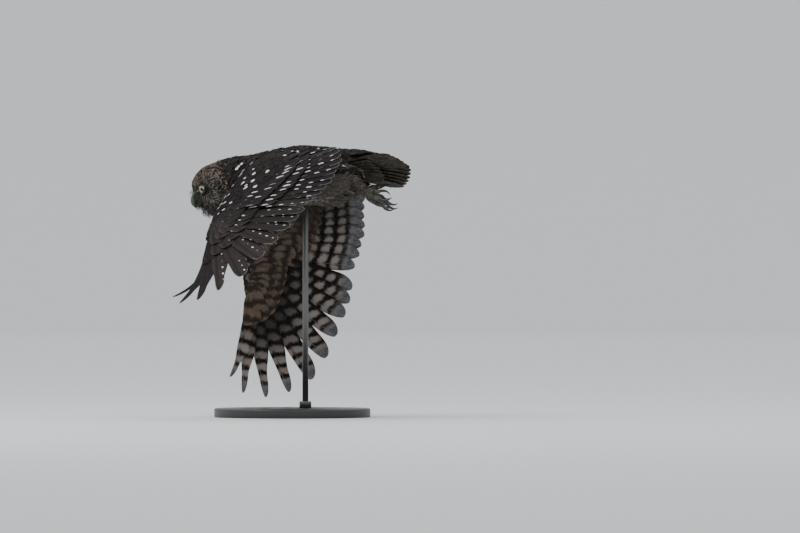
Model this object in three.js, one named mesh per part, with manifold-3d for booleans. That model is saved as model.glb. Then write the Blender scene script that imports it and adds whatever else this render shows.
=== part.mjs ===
// A life-size little owl in level flight, wings half way through the downstroke, on a plain display stand.
// Millimetres, +Z up. The origin is the centre of the underside of the stand's base.
// The bird's own frame has +X towards the tail, +Y to the bird's right and +Z towards its back, and its
// origin lies midway between the shoulder joints. The bird flies towards -X and banks to its right.
import * as THREE from "three";
import { mergeVertices } from "three/addons/utils/BufferGeometryUtils.js";
import Module from "manifold-3d";

const wasm = await Module();
wasm.setup();

const DEG = Math.PI / 180;
const GAP = 0.32; // clearance between neighbouring pieces
const FINEST = 0.04; // detail below this size is smoothed away
const V = (x, y, z) => new THREE.Vector3(x, y, z);
const P = (x, s) => new THREE.Vector2(x, s);
const { lerp, smoothstep } = THREE.MathUtils;

// Stand
const BASE_RADIUS = 78;
const BASE_HEIGHT = 9;
const BASE_CHAMFER = 1.5;
const ROD_RADIUS = 3;
const COLLAR_RADIUS = 6;
const COLLAR_HEIGHT = 7;
const ROD_PLACE = P(12, 6);

// Where the bird hangs over the base, and how it leans
const SHOULDERS = V(-32, 4, 245);
const BANK = 18.5 * DEG;

// Trunk: distance along the body, height of the centre, half width and half height
const TRUNK = [
  { x: -54, z: -10, wide: 10, high: 10 },
  { x: -44, z: -9, wide: 19.5, high: 18.5 },
  { x: -28, z: -9.5, wide: 25.5, high: 24.2 },
  { x: -8, z: -11.5, wide: 32, high: 28 },
  { x: 16, z: -9.5, wide: 35, high: 31.8 },
  { x: 40, z: -5, wide: 33, high: 31 },
  { x: 64, z: 1, wide: 27, high: 24 },
  { x: 86, z: 5.5, wide: 21, high: 17.5 },
  { x: 104, z: 8, wide: 17.5, high: 14 },
  { x: 121, z: 11, wide: 11, high: 7 },
];
const NECK_END = -15; // where the neck meets the torso
const RUMP_END = 98; // where the torso meets the tail

// Head, in its own frame with the face towards -X
const HEAD_PLACE = V(-46, 0, -17);
const HEAD_ROLL = 9 * DEG;
const HEAD_YAW = 14 * DEG;
const HEAD_PITCH = 28 * DEG;
const HEAD_RADII = V(26.5, 27, 24);
const FACE_TURN = 36 * DEG; // how far each half of the face looks outwards
const FACE_DEPTH = 19.6;
const EYE_RADIUS = 7.4;
const EYE_PLACE = V(-9.5, 12.5, 2.5);
const GAZE_OUT = 42 * DEG;
const LID_RADIUS = 5.6;
const LID_FORWARD = 5.2;
const NOSTRIL = V(-21, 2.9, 3.1);

// Wings
const SHOULDER_HALF = 22;
const WING_DROOP = 53 * DEG;
const ROOT_BEND = 16; // how gently the wing turns down from the back
const NEUTRAL_X = -7;
const INNER_TWIST = 0.25;
const TIP_TWIST = 0.45;
const CAMBER = 5;
const PRIMARIES = 10;
const SECONDARIES = 10;
const TERTIALS = 3;
const FLIGHT = PRIMARIES + SECONDARIES + TERTIALS;

// Tips of the flight feathers, from the outermost primary in to the last tertial:
// how far behind the shoulder, and how far out along the wing.
const TIPS = [
  P(-49, 203), P(-38, 222), P(-17, 230), P(5, 228), P(27, 218), P(42, 197), P(53, 175), P(63, 155), P(69, 140),
  P(73, 125), P(78, 101), P(84, 88), P(87, 77), P(91, 66), P(92, 56), P(92, 46), P(93, 36), P(94, 27), P(91, 17),
  P(87, 8), P(82, -2), P(75, -11), P(66, -18),
];
const VANE_THICK = 0.6;
const SHAFT_RISE = 0.2; // how far the shaft stands out from each face of a vane
const SHINGLE = 0.15; // slope across each vane, so that the next one lies over it
const TIER = 2.4; // height between tiers of feathers
// The line of the outermost feathers' shafts, different in the two wings
const BOW = { left: P(-4, 202), right: P(-34, 178) };

// Makes one closed surface of a geometry: its vertices are merged and its faces point outwards.
function solid(geometry, matrix) {
  const bare = geometry.index ? geometry.clone() : mergeVertices(geometry);
  bare.deleteAttribute("normal");
  bare.deleteAttribute("uv");
  const merged = mergeVertices(bare, 1e-4);
  if (matrix) merged.applyMatrix4(matrix);
  const vertProperties = new Float32Array(merged.attributes.position.array);
  const triVerts = new Uint32Array(merged.index.array);
  const make = () => new wasm.Manifold(new wasm.Mesh({ numProp: 3, vertProperties, triVerts }));
  let made = make();
  if (made.volume() < 0) {
    for (let i = 0; i < triVerts.length; i += 3) {
      [triVerts[i + 1], triVerts[i + 2]] = [triVerts[i + 2], triVerts[i + 1]];
    }
    made = make();
  }
  return made;
}

const join = (pieces) => pieces.reduce((sum, piece) => sum.add(piece));
const cut = (body, ...tools) => tools.reduce((left, tool) => left.subtract(tool), body);

// The largest closed surface of a solid, so that loose scraps, sealed hollows and slivers go.
function largest(body) {
  return body.decompose().sort((a, b) => b.volume() - a.volume())[0].simplify(FINEST);
}

function geometryOf(body) {
  const { numProp, numVert, vertProperties, triVerts } = body.getMesh();
  const position = new Float32Array(numVert * 3);
  for (let i = 0; i < numVert; i++) {
    position.set(vertProperties.subarray(i * numProp, i * numProp + 3), i * 3);
  }
  const geometry = new THREE.BufferGeometry();
  geometry.setAttribute("position", new THREE.BufferAttribute(position, 3));
  geometry.setIndex(new THREE.BufferAttribute(new Uint32Array(triVerts), 1));
  geometry.computeVertexNormals();
  return geometry;
}

function box(low, high) {
  const shape = new THREE.BoxGeometry(high.x - low.x, high.y - low.y, high.z - low.z);
  shape.translate((low.x + high.x) / 2, (low.y + high.y) / 2, (low.z + high.z) / 2);
  return solid(shape);
}

// A closed tube: a unit cylinder whose vertices are moved to point(along, angle, out), with along from 0 to 1.
function tube(sides, steps, point) {
  const geometry = new THREE.CylinderGeometry(1, 1, 1, sides, steps);
  geometry.deleteAttribute("normal");
  geometry.deleteAttribute("uv");
  const merged = mergeVertices(geometry, 1e-5);
  const at = merged.attributes.position;
  for (let i = 0; i < at.count; i++) {
    const out = Math.hypot(at.getX(i), at.getZ(i));
    const moved = point(0.5 - at.getY(i), Math.atan2(at.getZ(i), at.getX(i)), out > 0.5 ? 1 : 0);
    at.setXYZ(i, moved.x, moved.y, moved.z);
  }
  return merged;
}

// A tube of round section along a curve, with the radius given along it and grown by extra.
function limb(points, radii, sides, steps, { matrix, extra = 0 } = {}) {
  const path = new THREE.CatmullRomCurve3(points);
  const size = new THREE.SplineCurve(radii.map((r, i) => P(i, r)));
  const frames = path.computeFrenetFrames(steps);
  return solid(tube(sides, steps, (along, angle, out) => {
    const k = Math.round(along * steps);
    const radius = out * (size.getPoint(along).y + extra);
    const overrun = extra * (k === steps ? 1 : k === 0 ? -1 : 0);
    return path.getPointAt(along)
      .addScaledVector(frames.tangents[k], overrun)
      .addScaledVector(frames.normals[k], radius * Math.cos(angle))
      .addScaledVector(frames.binormals[k], radius * Math.sin(angle));
  }), matrix);
}

// A thin closed sheet between two faces, each a grid of points split alike into triangles.
function sheet(rows, columns, top, under) {
  const count = rows * columns;
  const position = new Float32Array(count * 6);
  [top, under].forEach((face, side) => {
    for (let j = 0; j < rows; j++) {
      for (let i = 0; i < columns; i++) {
        face(j, i).toArray(position, (side * count + j * columns + i) * 3);
      }
    }
  });
  const index = [];
  for (let j = 0; j + 1 < rows; j++) {
    for (let i = 0; i + 1 < columns; i++) {
      const a = j * columns + i;
      const [b, c, d] = [a + 1, a + columns, a + columns + 1];
      index.push(a, b, c, b, d, c);
      index.push(a + count, c + count, b + count, b + count, c + count, d + count);
    }
  }
  const rim = [];
  for (let i = 0; i < columns - 1; i++) rim.push(i);
  for (let j = 0; j < rows - 1; j++) rim.push(j * columns + columns - 1);
  for (let i = columns - 1; i > 0; i--) rim.push((rows - 1) * columns + i);
  for (let j = rows - 1; j > 0; j--) rim.push(j * columns);
  rim.forEach((p, k) => {
    const q = rim[(k + 1) % rim.length];
    index.push(q, p, p + count, q, p + count, q + count);
  });
  const geometry = new THREE.BufferGeometry();
  geometry.setAttribute("position", new THREE.BufferAttribute(position, 3));
  geometry.setIndex(index);
  return geometry;
}

// The trunk as one smooth body, grown by extra all round.
function trunk(extra) {
  const middle = new THREE.SplineCurve(TRUNK.map((s) => P(s.x, s.z)));
  const size = new THREE.SplineCurve(TRUNK.map((s) => P(s.wide, s.high)));
  return solid(tube(22, 14, (along, angle, out) => {
    const centre = middle.getPoint(along);
    const { x: wide, y: high } = size.getPoint(along);
    const end = along < 0.5 ? -extra : extra;
    const x = centre.x + (along === 0 || along === 1 ? end : 0);
    return V(x, out * (wide + extra) * Math.cos(angle), centre.y + out * (high + extra) * Math.sin(angle));
  }));
}

// Places a point of a wing: x behind the shoulder, s out along the span, h towards the upper side.
function wingPoint(side, x, s, h) {
  const span = Math.hypot(s, ROOT_BEND);
  const down = (span + s) / 2;
  const turn = (s / span + 1) / 2;
  const [c, d] = [Math.cos(WING_DROOP), Math.sin(WING_DROOP)];
  const normal = P(turn * d, 1 - turn + turn * c).normalize();
  const twist = lerp(INNER_TWIST, TIP_TWIST, smoothstep(s, 60, 200));
  const arch = CAMBER * (1 - ((x - 30) / 62) ** 2) * (1 - smoothstep(s, 90, 190));
  const rise = twist * (x - NEUTRAL_X) + arch + h;
  return V(x, side * (SHOULDER_HALF + s - down + down * c + rise * normal.x), rise * normal.y - down * d);
}

// The shaft of a flight feather as a curve in the plane of the wing.
function shaft(name, n) {
  const tip = TIPS[n];
  let root;
  if (n < PRIMARIES) root = P(-26, 118).lerp(P(-20, 88), n / (PRIMARIES - 1));
  else if (n < PRIMARIES + SECONDARIES) root = P(-17, 82).lerp(P(20, 43), (n - PRIMARIES) / (SECONDARIES - 1));
  else root = P(22, 36).lerp(P(20, 6), (n - PRIMARIES - SECONDARIES) / (TERTIALS - 1));
  const middle = root.clone().lerp(tip, 0.6);
  middle.lerp(BOW[name], Math.max(0, 1 - n / 2.5));
  return new THREE.QuadraticBezierCurve(root, middle, tip);
}

// The fleshy part of the wing, from the shoulder to the end of the hand.
const ARM = [
  { s: -4, front: -12, back: 36, thick: 15 },
  { s: 20, front: -17, back: 42, thick: 16 },
  { s: 45, front: -23, back: 36, thick: 13 },
  { s: 70, front: -29, back: 14, thick: 11 },
  { s: 90, front: -31, back: -4, thick: 9 },
  { s: 108, front: -31, back: -15, thick: 6 },
  { s: 122, front: -30, back: -22, thick: 3 },
];

function arm(side) {
  const edges = new THREE.SplineCurve(ARM.map((a) => P(a.front, a.back)));
  const depth = new THREE.SplineCurve(ARM.map((a) => P(a.s, a.thick)));
  return solid(tube(10, 9, (along, angle, out) => {
    const { x: front, y: back } = edges.getPoint(along);
    const { x: s, y: thick } = depth.getPoint(along);
    const x = (front + back) / 2 + out * (back - front) / 2 * Math.cos(angle);
    return wingPoint(side, x, s, out * thick / 2 * Math.sin(angle));
  }));
}

// One feather: a thin vane on a surface along a shaft, rounded at its tip and narrow at its root.
// place(x, s, h) gives the point; lead and trail are its widths before and behind the shaft.
function vane(place, curve, { reach = 1, lead, trail, level = 0, slope = 0, slot = 0, steps = 6, ridged = false }) {
  const stations = Array.from({ length: steps }, (_, j) => Math.sin(Math.PI / 2 * j / (steps - 1)) ** 0.9);
  const across = ridged ? [-trail, 0, lead] : [-trail, lead];
  const at = (face) => (j, i) => {
    const t = stations[j];
    const centre = curve.getPoint(t * reach);
    const along = curve.getTangent(t * reach);
    const opening = lerp(0.35, 1, smoothstep(t, 0, 0.35));
    const rounding = Math.sqrt(1 - 0.94 * (Math.max(0, t - 0.8) / 0.2) ** 2);
    const narrowing = 1 - slot * smoothstep(t, 0.5, 0.8);
    const q = across[i] * opening * rounding * narrowing;
    const half = VANE_THICK / 2 * (t > 0.9 ? 0.7 : 1) + (ridged && i === 1 ? SHAFT_RISE * (1 - t) : 0);
    return place(centre.x - along.y * q, centre.y + along.x * q, level + slope * q + face * half);
  };
  return solid(sheet(steps, across.length, at(1), at(-1)));
}

// The widths of a flight feather before and behind its shaft, and how much its outer part is slotted.
function flightShape(n) {
  if (n >= PRIMARIES) return { lead: 6.5, trail: 12.5, slot: 0 };
  const inward = n / (PRIMARIES - 1);
  return { lead: lerp(3.5, 7, inward), trail: lerp(11, 16, inward), slot: n < 4 ? 0.45 : 0.1 };
}

function wing(name, side) {
  const place = (x, s, h) => wingPoint(side, x, s, h);
  const feathers = TIPS.flatMap((tip, n) => {
    const curve = shaft(name, n);
    const shape = { ...flightShape(n), slope: SHINGLE };
    const covert = { ...shape, trail: shape.trail + 3, slot: 0, steps: 4 };
    const hand = n < PRIMARIES;
    const row = [vane(place, curve, { ...shape, steps: hand ? 6 : 5, ridged: hand })];
    if (n % 2) row.push(vane(place, curve, { ...covert, reach: hand ? 0.42 : 0.58, level: TIER }));
    else if (n > 3) row.push(vane(place, curve, { ...covert, reach: hand ? 0.25 : 0.38, level: 2 * TIER }));
    const under = { ...covert, trail: shape.trail + 6, reach: hand ? 0.36 : 0.5, level: -TIER };
    if (n % 3 === 1 && n < 20) row.push(vane(place, curve, under));
    return row;
  });
  const thumb = new THREE.QuadraticBezierCurve(P(-25, 88), P(-28, 104), P(-28, 121));
  return join([arm(side), vane(place, thumb, { lead: 2, trail: 6, level: 3, steps: 4 }), ...feathers]);
}

// Tail: a fan from the rump.
const TAIL_ROOT = V(76, 0, 9);
const TAIL_LENGTH = 76;
const TAIL_SPREAD = 36 * DEG;
const TAIL_DROOP = 3.6 * DEG;
const TAIL_TWIST = 6 * DEG;

function tailPoint(x, y, h) {
  const p = V(x, y, h + 0.0015 * y * y);
  p.applyAxisAngle(V(0, 1, 0), TAIL_DROOP);
  p.applyAxisAngle(V(1, 0, 0), -TAIL_TWIST);
  return p.add(TAIL_ROOT);
}

// Tail feathers lie under their inner neighbours; the coverts close the fan above and below.
function tail() {
  const feathers = [];
  const fan = (count, spread, options, level) => {
    for (let k = 0; k < count; k++) {
      const part = k / (count - 1) * 2 - 1;
      const turn = part * spread;
      const curl = turn * 0.86;
      const reach = options.length * (1 - 0.04 * Math.abs(part));
      const curve = new THREE.QuadraticBezierCurve(P(4, part * 4), P(reach / 2 * Math.cos(turn), reach / 2 * Math.sin(turn)),
        P(reach * Math.cos(curl), reach * Math.sin(curl)));
      feathers.push(vane(tailPoint, curve, { ...options, level: level(Math.abs(part)) }));
    }
  };
  fan(12, TAIL_SPREAD, { length: TAIL_LENGTH, lead: 8.5, trail: 8.5, steps: 4 }, (part) => -6.5 * part);
  fan(5, TAIL_SPREAD, { length: 52, lead: 9, trail: 9, steps: 3 }, (part) => 5 - 5 * part);
  fan(5, TAIL_SPREAD, { length: 48, lead: 9, trail: 9, steps: 3 }, (part) => -10 + 2 * part);
  return join([trunk(0), ...feathers]).intersect(box(V(RUMP_END + GAP / 2, -80, -80), V(200, 80, 80)));
}

// Head
const headMatrix = new THREE.Matrix4()
  .makeTranslation(HEAD_PLACE)
  .multiply(new THREE.Matrix4().makeRotationX(HEAD_ROLL))
  .multiply(new THREE.Matrix4().makeRotationZ(HEAD_YAW))
  .multiply(new THREE.Matrix4().makeRotationY(-HEAD_PITCH));

// The distance from the head's centre to its skin along a direction: an ellipsoid with two flat faces.
function skullReach(direction) {
  const { x, y, z } = direction;
  const round = 1 / Math.hypot(x / HEAD_RADII.x, y / HEAD_RADII.y, z / HEAD_RADII.z);
  const facing = -x * Math.cos(FACE_TURN) + Math.abs(y) * Math.sin(FACE_TURN);
  const flat = facing > 0.2 ? FACE_DEPTH / facing : 99;
  return (round ** -8 + flat ** -8) ** (-1 / 8);
}

function skull(extra) {
  const shape = new THREE.SphereGeometry(1, 22, 13);
  shape.rotateX(Math.PI / 2);
  shape.rotateY(Math.PI / 2);
  const at = shape.attributes.position;
  for (let i = 0; i < at.count; i++) {
    const p = new THREE.Vector3().fromBufferAttribute(at, i);
    p.setLength(skullReach(p) + extra);
    at.setXYZ(i, p.x, p.y, p.z);
  }
  return solid(shape, headMatrix);
}

function ball(radius, centre, matrix) {
  const shape = new THREE.SphereGeometry(radius, radius > 3 ? 14 : 8, radius > 3 ? 9 : 6);
  shape.translate(centre.x, centre.y, centre.z);
  return solid(shape, matrix);
}

const eyeCentre = (side) => V(EYE_PLACE.x, side * EYE_PLACE.y, EYE_PLACE.z);

const gaze = (side) => V(-Math.cos(GAZE_OUT), side * Math.sin(GAZE_OUT), 0);

// The rims that shape the face: a lid round each eye, a brow above it and the ruff beside it.
function faceRims(side) {
  const ring = new THREE.TorusGeometry(LID_RADIUS, 1.3, 5, 12);
  ring.lookAt(gaze(side));
  const centre = eyeCentre(side).addScaledVector(gaze(side), LID_FORWARD);
  ring.translate(centre.x, centre.y, centre.z);
  const brow = [V(-23, side * 2, 6), V(-20.5, side * 7, 10.5), V(-15, side * 14, 12.5), V(-7, side * 20, 11)];
  const ruff = [V(-7, side * 20, 11), V(-5, side * 24.5, 0), V(-9, side * 20.5, -12), V(-16, side * 9, -18)];
  return [
    solid(ring, headMatrix),
    limb(brow, [1.4, 2.2, 2, 1.2], 5, 5, { matrix: headMatrix }),
    limb(ruff, [1.2, 1.9, 1.9, 1.2], 5, 5, { matrix: headMatrix }),
  ];
}

// Bill: the upper half hooks over the lower one.
function upperBill(extra) {
  const points = [V(-15, 0, 2.5), V(-21, 0, 1), V(-26, 0, -3.5), V(-26.5, 0, -10.5)];
  return limb(points, [5.5, 4.8, 3.2, 0.5], 10, 8, { matrix: headMatrix, extra });
}

function lowerBill(extra) {
  const points = [V(-13, 0, -6), V(-18, 0, -6.8), V(-22, 0, -7.8), V(-25, 0, -9.4)];
  return limb(points, [4.4, 4, 3, 0.8], 10, 6, { matrix: headMatrix, extra });
}

// Legs: the thigh and shank trail behind the belly, and the feet hang half closed with the soles up.
const LEGS = {
  left: { side: -1, ankle: V(110, -13, -26) },
  right: { side: 1, ankle: V(108, 12, -15) },
};
const SHANK_RADII = [11, 13, 11.5, 8.5, 6.8, 5];
const TOE_LINE = V(0.8, 0, -0.6);

function shank({ side, ankle }, extra) {
  const heel = V(97, side * 13, -12);
  const points = [V(50, side * 14, -14), V(70, side * 15, -18), V(85, side * 14, -15), heel,
    heel.clone().lerp(ankle, 0.5), ankle];
  return limb(points, SHANK_RADII, 10, 12, { extra });
}

// Toes: length, how far each one swings outwards and lifts from the line of the foot, and its claw's hook.
const TOES = {
  inner: { length: 20, swing: -20 * DEG, lift: 6 * DEG, hook: 1 },
  middle: { length: 25, swing: 2 * DEG, lift: 0, hook: 1 },
  outer: { length: 21, swing: 22 * DEG, lift: 10 * DEG, hook: 1 },
  hind: { length: 14, swing: -16 * DEG, lift: 44 * DEG, hook: -1 },
};
const TOE_RADII = [3.4, 3.1, 2.5, 2];

function toeFrame({ side }, { swing, lift }) {
  const across = V(0, 1, 0);
  const along = TOE_LINE.clone().applyAxisAngle(across, -lift);
  const up = along.clone().cross(across).normalize();
  along.applyAxisAngle(up, side * swing).normalize();
  return { along, up };
}

function toe(foot, digit, extra) {
  const { along, up } = toeFrame(foot, digit);
  const at = (part, rise) => foot.ankle.clone()
    .addScaledVector(along, digit.length * part)
    .addScaledVector(up, digit.length * rise * -digit.hook);
  return limb([at(-0.1, 0), at(0.5, 0.1), at(1, 0)], TOE_RADII, 6, 4, { extra });
}

function claw(foot, digit) {
  const { along, up } = toeFrame(foot, digit);
  const at = (reach, rise) => foot.ankle.clone()
    .addScaledVector(along, digit.length + reach)
    .addScaledVector(up, rise * digit.hook);
  return limb([at(-1, 0), at(4, -1), at(8.5, 0.5), at(11, 4)], [1.7, 1.4, 0.9, 0.25], 5, 5);
}

const birdPlace = new THREE.Matrix4().makeTranslation(SHOULDERS)
  .multiply(new THREE.Matrix4().makeRotationX(-BANK));

const part = new THREE.Group();
const bird = new THREE.Group();
bird.applyMatrix4(birdPlace);
part.add(bird);

function add(group, name, body, colour, roughness) {
  const material = new THREE.MeshStandardMaterial({ color: colour, roughness, metalness: 0 });
  const mesh = new THREE.Mesh(geometryOf(body), material);
  mesh.name = name;
  group.add(mesh);
}

const BROWN = 0x4c4440;
const PALE = 0x8f867c;
const HORN = 0x8a8a5a;
const DARK = 0x201c1a;

const trunkGrown = trunk(GAP);
const skullGrown = skull(GAP);
const faceGrown = skull(2.5);
const front = box(V(-90, -60, -80), V(NECK_END - GAP / 2, 60, 60));
const rear = box(V(NECK_END + GAP / 2, -60, -80), V(RUMP_END - GAP / 2, 60, 60));
const torso = largest(trunk(0).intersect(rear));
const neck = largest(cut(trunk(0).intersect(front), skullGrown));
const sockets = [-1, 1].map((side) => ball(EYE_RADIUS + GAP, eyeCentre(side), headMatrix));
const face = join([skull(0), ...faceRims(-1), ...faceRims(1)]);
const head = largest(cut(face, ...sockets, upperBill(GAP), lowerBill(GAP)));
const nostrils = [-1, 1].map((side) => ball(0.9, V(NOSTRIL.x, side * NOSTRIL.y, NOSTRIL.z), headMatrix));

add(bird, "torso", torso, BROWN, 0.9);
add(bird, "neck", neck, BROWN, 0.9);
add(bird, "head", head, BROWN, 0.9);
add(bird, "bill_upper", largest(cut(upperBill(0), ...nostrils)), HORN, 0.45);
add(bird, "bill_lower", largest(cut(lowerBill(0), upperBill(GAP))), HORN, 0.45);

for (const [name, limbSide] of Object.entries(LEGS)) {
  const { side } = limbSide;
  const digits = Object.entries(TOES);
  const toes = join(digits.map(([, digit]) => toe(limbSide, digit, 0)));
  const toesGrown = join(digits.map(([, digit]) => toe(limbSide, digit, GAP)));
  add(bird, `eye_${name}`, ball(EYE_RADIUS, eyeCentre(side), headMatrix), 0xc9b84a, 0.15);
  add(bird, `wing_${name}`, largest(cut(wing(name, side), trunkGrown, faceGrown)), BROWN, 0.85);
  add(bird, `leg_${name}`, largest(cut(shank(limbSide, 0), trunkGrown)), PALE, 0.9);
  add(bird, `foot_${name}`, largest(cut(toes, shank(limbSide, GAP))), PALE, 0.8);
  for (const [digitName, digit] of digits) {
    add(bird, `claw_${name}_${digitName}`, largest(cut(claw(limbSide, digit), toesGrown)), DARK, 0.35);
  }
}
const shanksGrown = Object.values(LEGS).map((foot) => shank(foot, GAP));
add(bird, "tail", largest(cut(tail(), ...shanksGrown)), BROWN, 0.85);

// Stand: a round base and one rod that stops just short of the belly.
const baseProfile = [P(0, 0), P(BASE_RADIUS, 0), P(BASE_RADIUS, BASE_HEIGHT - BASE_CHAMFER),
  P(BASE_RADIUS - BASE_CHAMFER, BASE_HEIGHT), P(0, BASE_HEIGHT)];
const collarProfile = [P(0, BASE_HEIGHT + GAP), P(COLLAR_RADIUS, BASE_HEIGHT + GAP),
  P(COLLAR_RADIUS, BASE_HEIGHT + COLLAR_HEIGHT - 1), P(COLLAR_RADIUS - 1, BASE_HEIGHT + COLLAR_HEIGHT),
  P(0, BASE_HEIGHT + COLLAR_HEIGHT)];

function turned(profile, sides, x, y) {
  const shape = new THREE.LatheGeometry(profile, sides);
  shape.rotateX(Math.PI / 2);
  shape.translate(x, y, 0);
  return solid(shape);
}

function rod(radius, bottom, top) {
  const shape = new THREE.CylinderGeometry(radius, radius, top - bottom, 20);
  shape.rotateX(Math.PI / 2);
  shape.translate(ROD_PLACE.x, ROD_PLACE.y, (top + bottom) / 2);
  return solid(shape);
}

const base = turned(baseProfile, 48, 0, 0);
const collar = turned(collarProfile, 20, ROD_PLACE.x, ROD_PLACE.y);
const rodFoot = BASE_HEIGHT - 5;
const rodHole = rod(ROD_RADIUS + GAP, rodFoot - GAP, 60);
const belly = solid(geometryOf(trunkGrown), birdPlace);
add(part, "stand_base", cut(base, rodHole), 0x2b2724, 0.5);
add(part, "stand_collar", cut(collar, rodHole), 0x9a9a9a, 0.35);
add(part, "stand_rod", largest(cut(rod(ROD_RADIUS, rodFoot, SHOULDERS.z), belly)), 0x9a9a9a, 0.35);

export default part;
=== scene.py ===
"""A little owl in level flight on a plain stand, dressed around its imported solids.

Shapes are worked out in millimetres in the bird's own frame, with x towards the tail, y to its right and z
towards its back, and are then banked and hung over the stand.
"""

import bpy
import numpy as np
from mathutils import Matrix, Vector


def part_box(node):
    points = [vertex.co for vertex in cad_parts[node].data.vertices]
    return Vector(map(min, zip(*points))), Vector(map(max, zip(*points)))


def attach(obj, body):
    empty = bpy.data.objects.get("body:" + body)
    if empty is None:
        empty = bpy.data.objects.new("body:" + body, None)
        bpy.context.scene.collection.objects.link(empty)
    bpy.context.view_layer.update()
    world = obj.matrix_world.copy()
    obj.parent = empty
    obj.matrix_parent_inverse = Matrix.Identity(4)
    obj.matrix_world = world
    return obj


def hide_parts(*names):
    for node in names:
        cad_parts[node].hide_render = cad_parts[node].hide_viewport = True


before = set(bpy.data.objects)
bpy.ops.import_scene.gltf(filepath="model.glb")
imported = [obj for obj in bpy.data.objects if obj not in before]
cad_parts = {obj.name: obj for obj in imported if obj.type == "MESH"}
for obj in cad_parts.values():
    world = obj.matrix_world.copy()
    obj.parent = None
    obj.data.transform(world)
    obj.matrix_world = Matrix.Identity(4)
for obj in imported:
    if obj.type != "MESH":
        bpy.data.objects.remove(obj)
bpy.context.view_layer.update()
chance = np.random.default_rng(7)

MM = 0.001
SHOULDERS = np.array([-32.0, 4.0, 245.0])
BANK = np.radians(18.5)
SIDES = {"left": -1, "right": 1}

# Trunk: distance along the body, height of the centre, half width and half height
TRUNK = np.array([
    [-54, -10, 10, 10],
    [-44, -9, 19.5, 18.5],
    [-28, -9.5, 25.5, 24.2],
    [-8, -11.5, 32, 28],
    [16, -9.5, 35, 31.8],
    [40, -5, 33, 31],
    [64, 1, 27, 24],
    [86, 5.5, 21, 17.5],
    [104, 8, 17.5, 14],
    [121, 11, 11, 7],
], float)
# How deep the skin lies under the outside of the coat
BODY_COAT = 2.6
HEAD_COAT = 1.5
LEG_COAT = 1.5
ARM_COAT = 1.4

# Head, in its own frame with the face towards -x
HEAD_PLACE = np.array([-46.0, 0.0, -17.0])
HEAD_ROLL, HEAD_YAW, HEAD_PITCH = np.radians([9.0, 14.0, 28.0])
HEAD_RADII = np.array([26.5, 27.0, 24.0])
FACE_TURN = np.radians(36)
FACE_DEPTH = 19.6
EYE_RADIUS = 7.4
EYE_PLACE = np.array([-9.5, 12.5, 2.5])
LID_HEIGHT = 0.5
GAZE_OUT = np.radians(42)
BILL_BASE = np.array([-19.0, 0.0, -1.5])
BILL_FRONT = np.array([-21.0, 0.0, -1.5])
CHIN = np.array([-15.0, 0.0, -11.0])

# Wings
SHOULDER_HALF = 22
WING_DROOP = np.radians(53)
ROOT_BEND = 16
NEUTRAL_X = -7
INNER_TWIST, TIP_TWIST = 0.25, 0.45
CAMBER = 5
PRIMARIES, SECONDARIES, TERTIALS = 10, 10, 3
FLIGHT = PRIMARIES + SECONDARIES + TERTIALS
# Tips of the flight feathers from the outermost primary inwards: behind the shoulder, and out along the wing
TIPS = np.array([
    [-49, 203], [-38, 222], [-17, 230], [5, 228], [27, 218], [42, 197], [53, 175], [63, 155], [69, 140],
    [73, 125], [78, 101], [84, 88], [87, 77], [91, 66], [92, 56], [92, 46], [93, 36], [94, 27], [91, 17],
    [87, 8], [82, -2], [75, -11], [66, -18],
], float)
BOW = {"left": np.array([-4.0, 202.0]), "right": np.array([-34.0, 178.0])}
# The fleshy arm: out along the wing, front edge, back edge and thickness
ARM = np.array([
    [-4, -12, 36, 15],
    [20, -17, 42, 16],
    [45, -23, 36, 13],
    [70, -29, 14, 11],
    [90, -31, -4, 9],
    [108, -31, -15, 6],
    [122, -30, -22, 3],
], float)
SHINGLE = 0.15
TIER = 2.4
VANE_THICK = 0.5
SMALL_THICK = 0.3

# Tail
TAIL_ROOT = np.array([76.0, 0.0, 9.0])
TAIL_LENGTH = 76
TAIL_SPREAD, TAIL_DROOP, TAIL_TWIST = np.radians([36.0, 3.6, 6.0])

# Legs and feet
ANKLES = {"left": np.array([110.0, -13.0, -26.0]), "right": np.array([108.0, 12.0, -15.0])}
SHANK_RADII = [11, 13, 11.5, 8.5, 6.8, 5]
TOE_LINE = np.array([0.8, 0.0, -0.6])
TOE_RADII = [3.4, 3.1, 2.5, 2]
# Toes: length, how far each one swings outwards and lifts, and which way its claw hooks
TOES = {
    "inner": (20, np.radians(-20), np.radians(6), 1),
    "middle": (25, np.radians(2), 0.0, 1),
    "outer": (21, np.radians(22), np.radians(10), 1),
    "hind": (14, np.radians(-16), np.radians(44), -1),
}

# Stand
BASE_RADIUS, BASE_HEIGHT = 78.0, 9.0
COLLAR_RADIUS, COLLAR_HEIGHT = 6.0, 7.0
ROD_PLACE, ROD_RADIUS = np.array([12.0, 6.0]), 3.0

# Photograph: how far round and how far off the camera stands, and where it looks past the shoulders
CAMERA_TURN = np.radians(12)
CAMERA_DISTANCE = 8.0
CAMERA_LENS = 360
LOOK_BESIDE, LOOK_BELOW = 138, 94.5
CAMERA_RIGHT = np.array([np.cos(CAMERA_TURN), np.sin(CAMERA_TURN), 0])
CAMERA_AHEAD = np.array([-np.sin(CAMERA_TURN), np.cos(CAMERA_TURN), 0])
CAMERA_UP = np.array([0.0, 0, 1])
LOOK_AT = SHOULDERS + LOOK_BESIDE * CAMERA_RIGHT - LOOK_BELOW * CAMERA_UP
PHOTO_CENTRE = np.array([400, 266.5])
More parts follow.
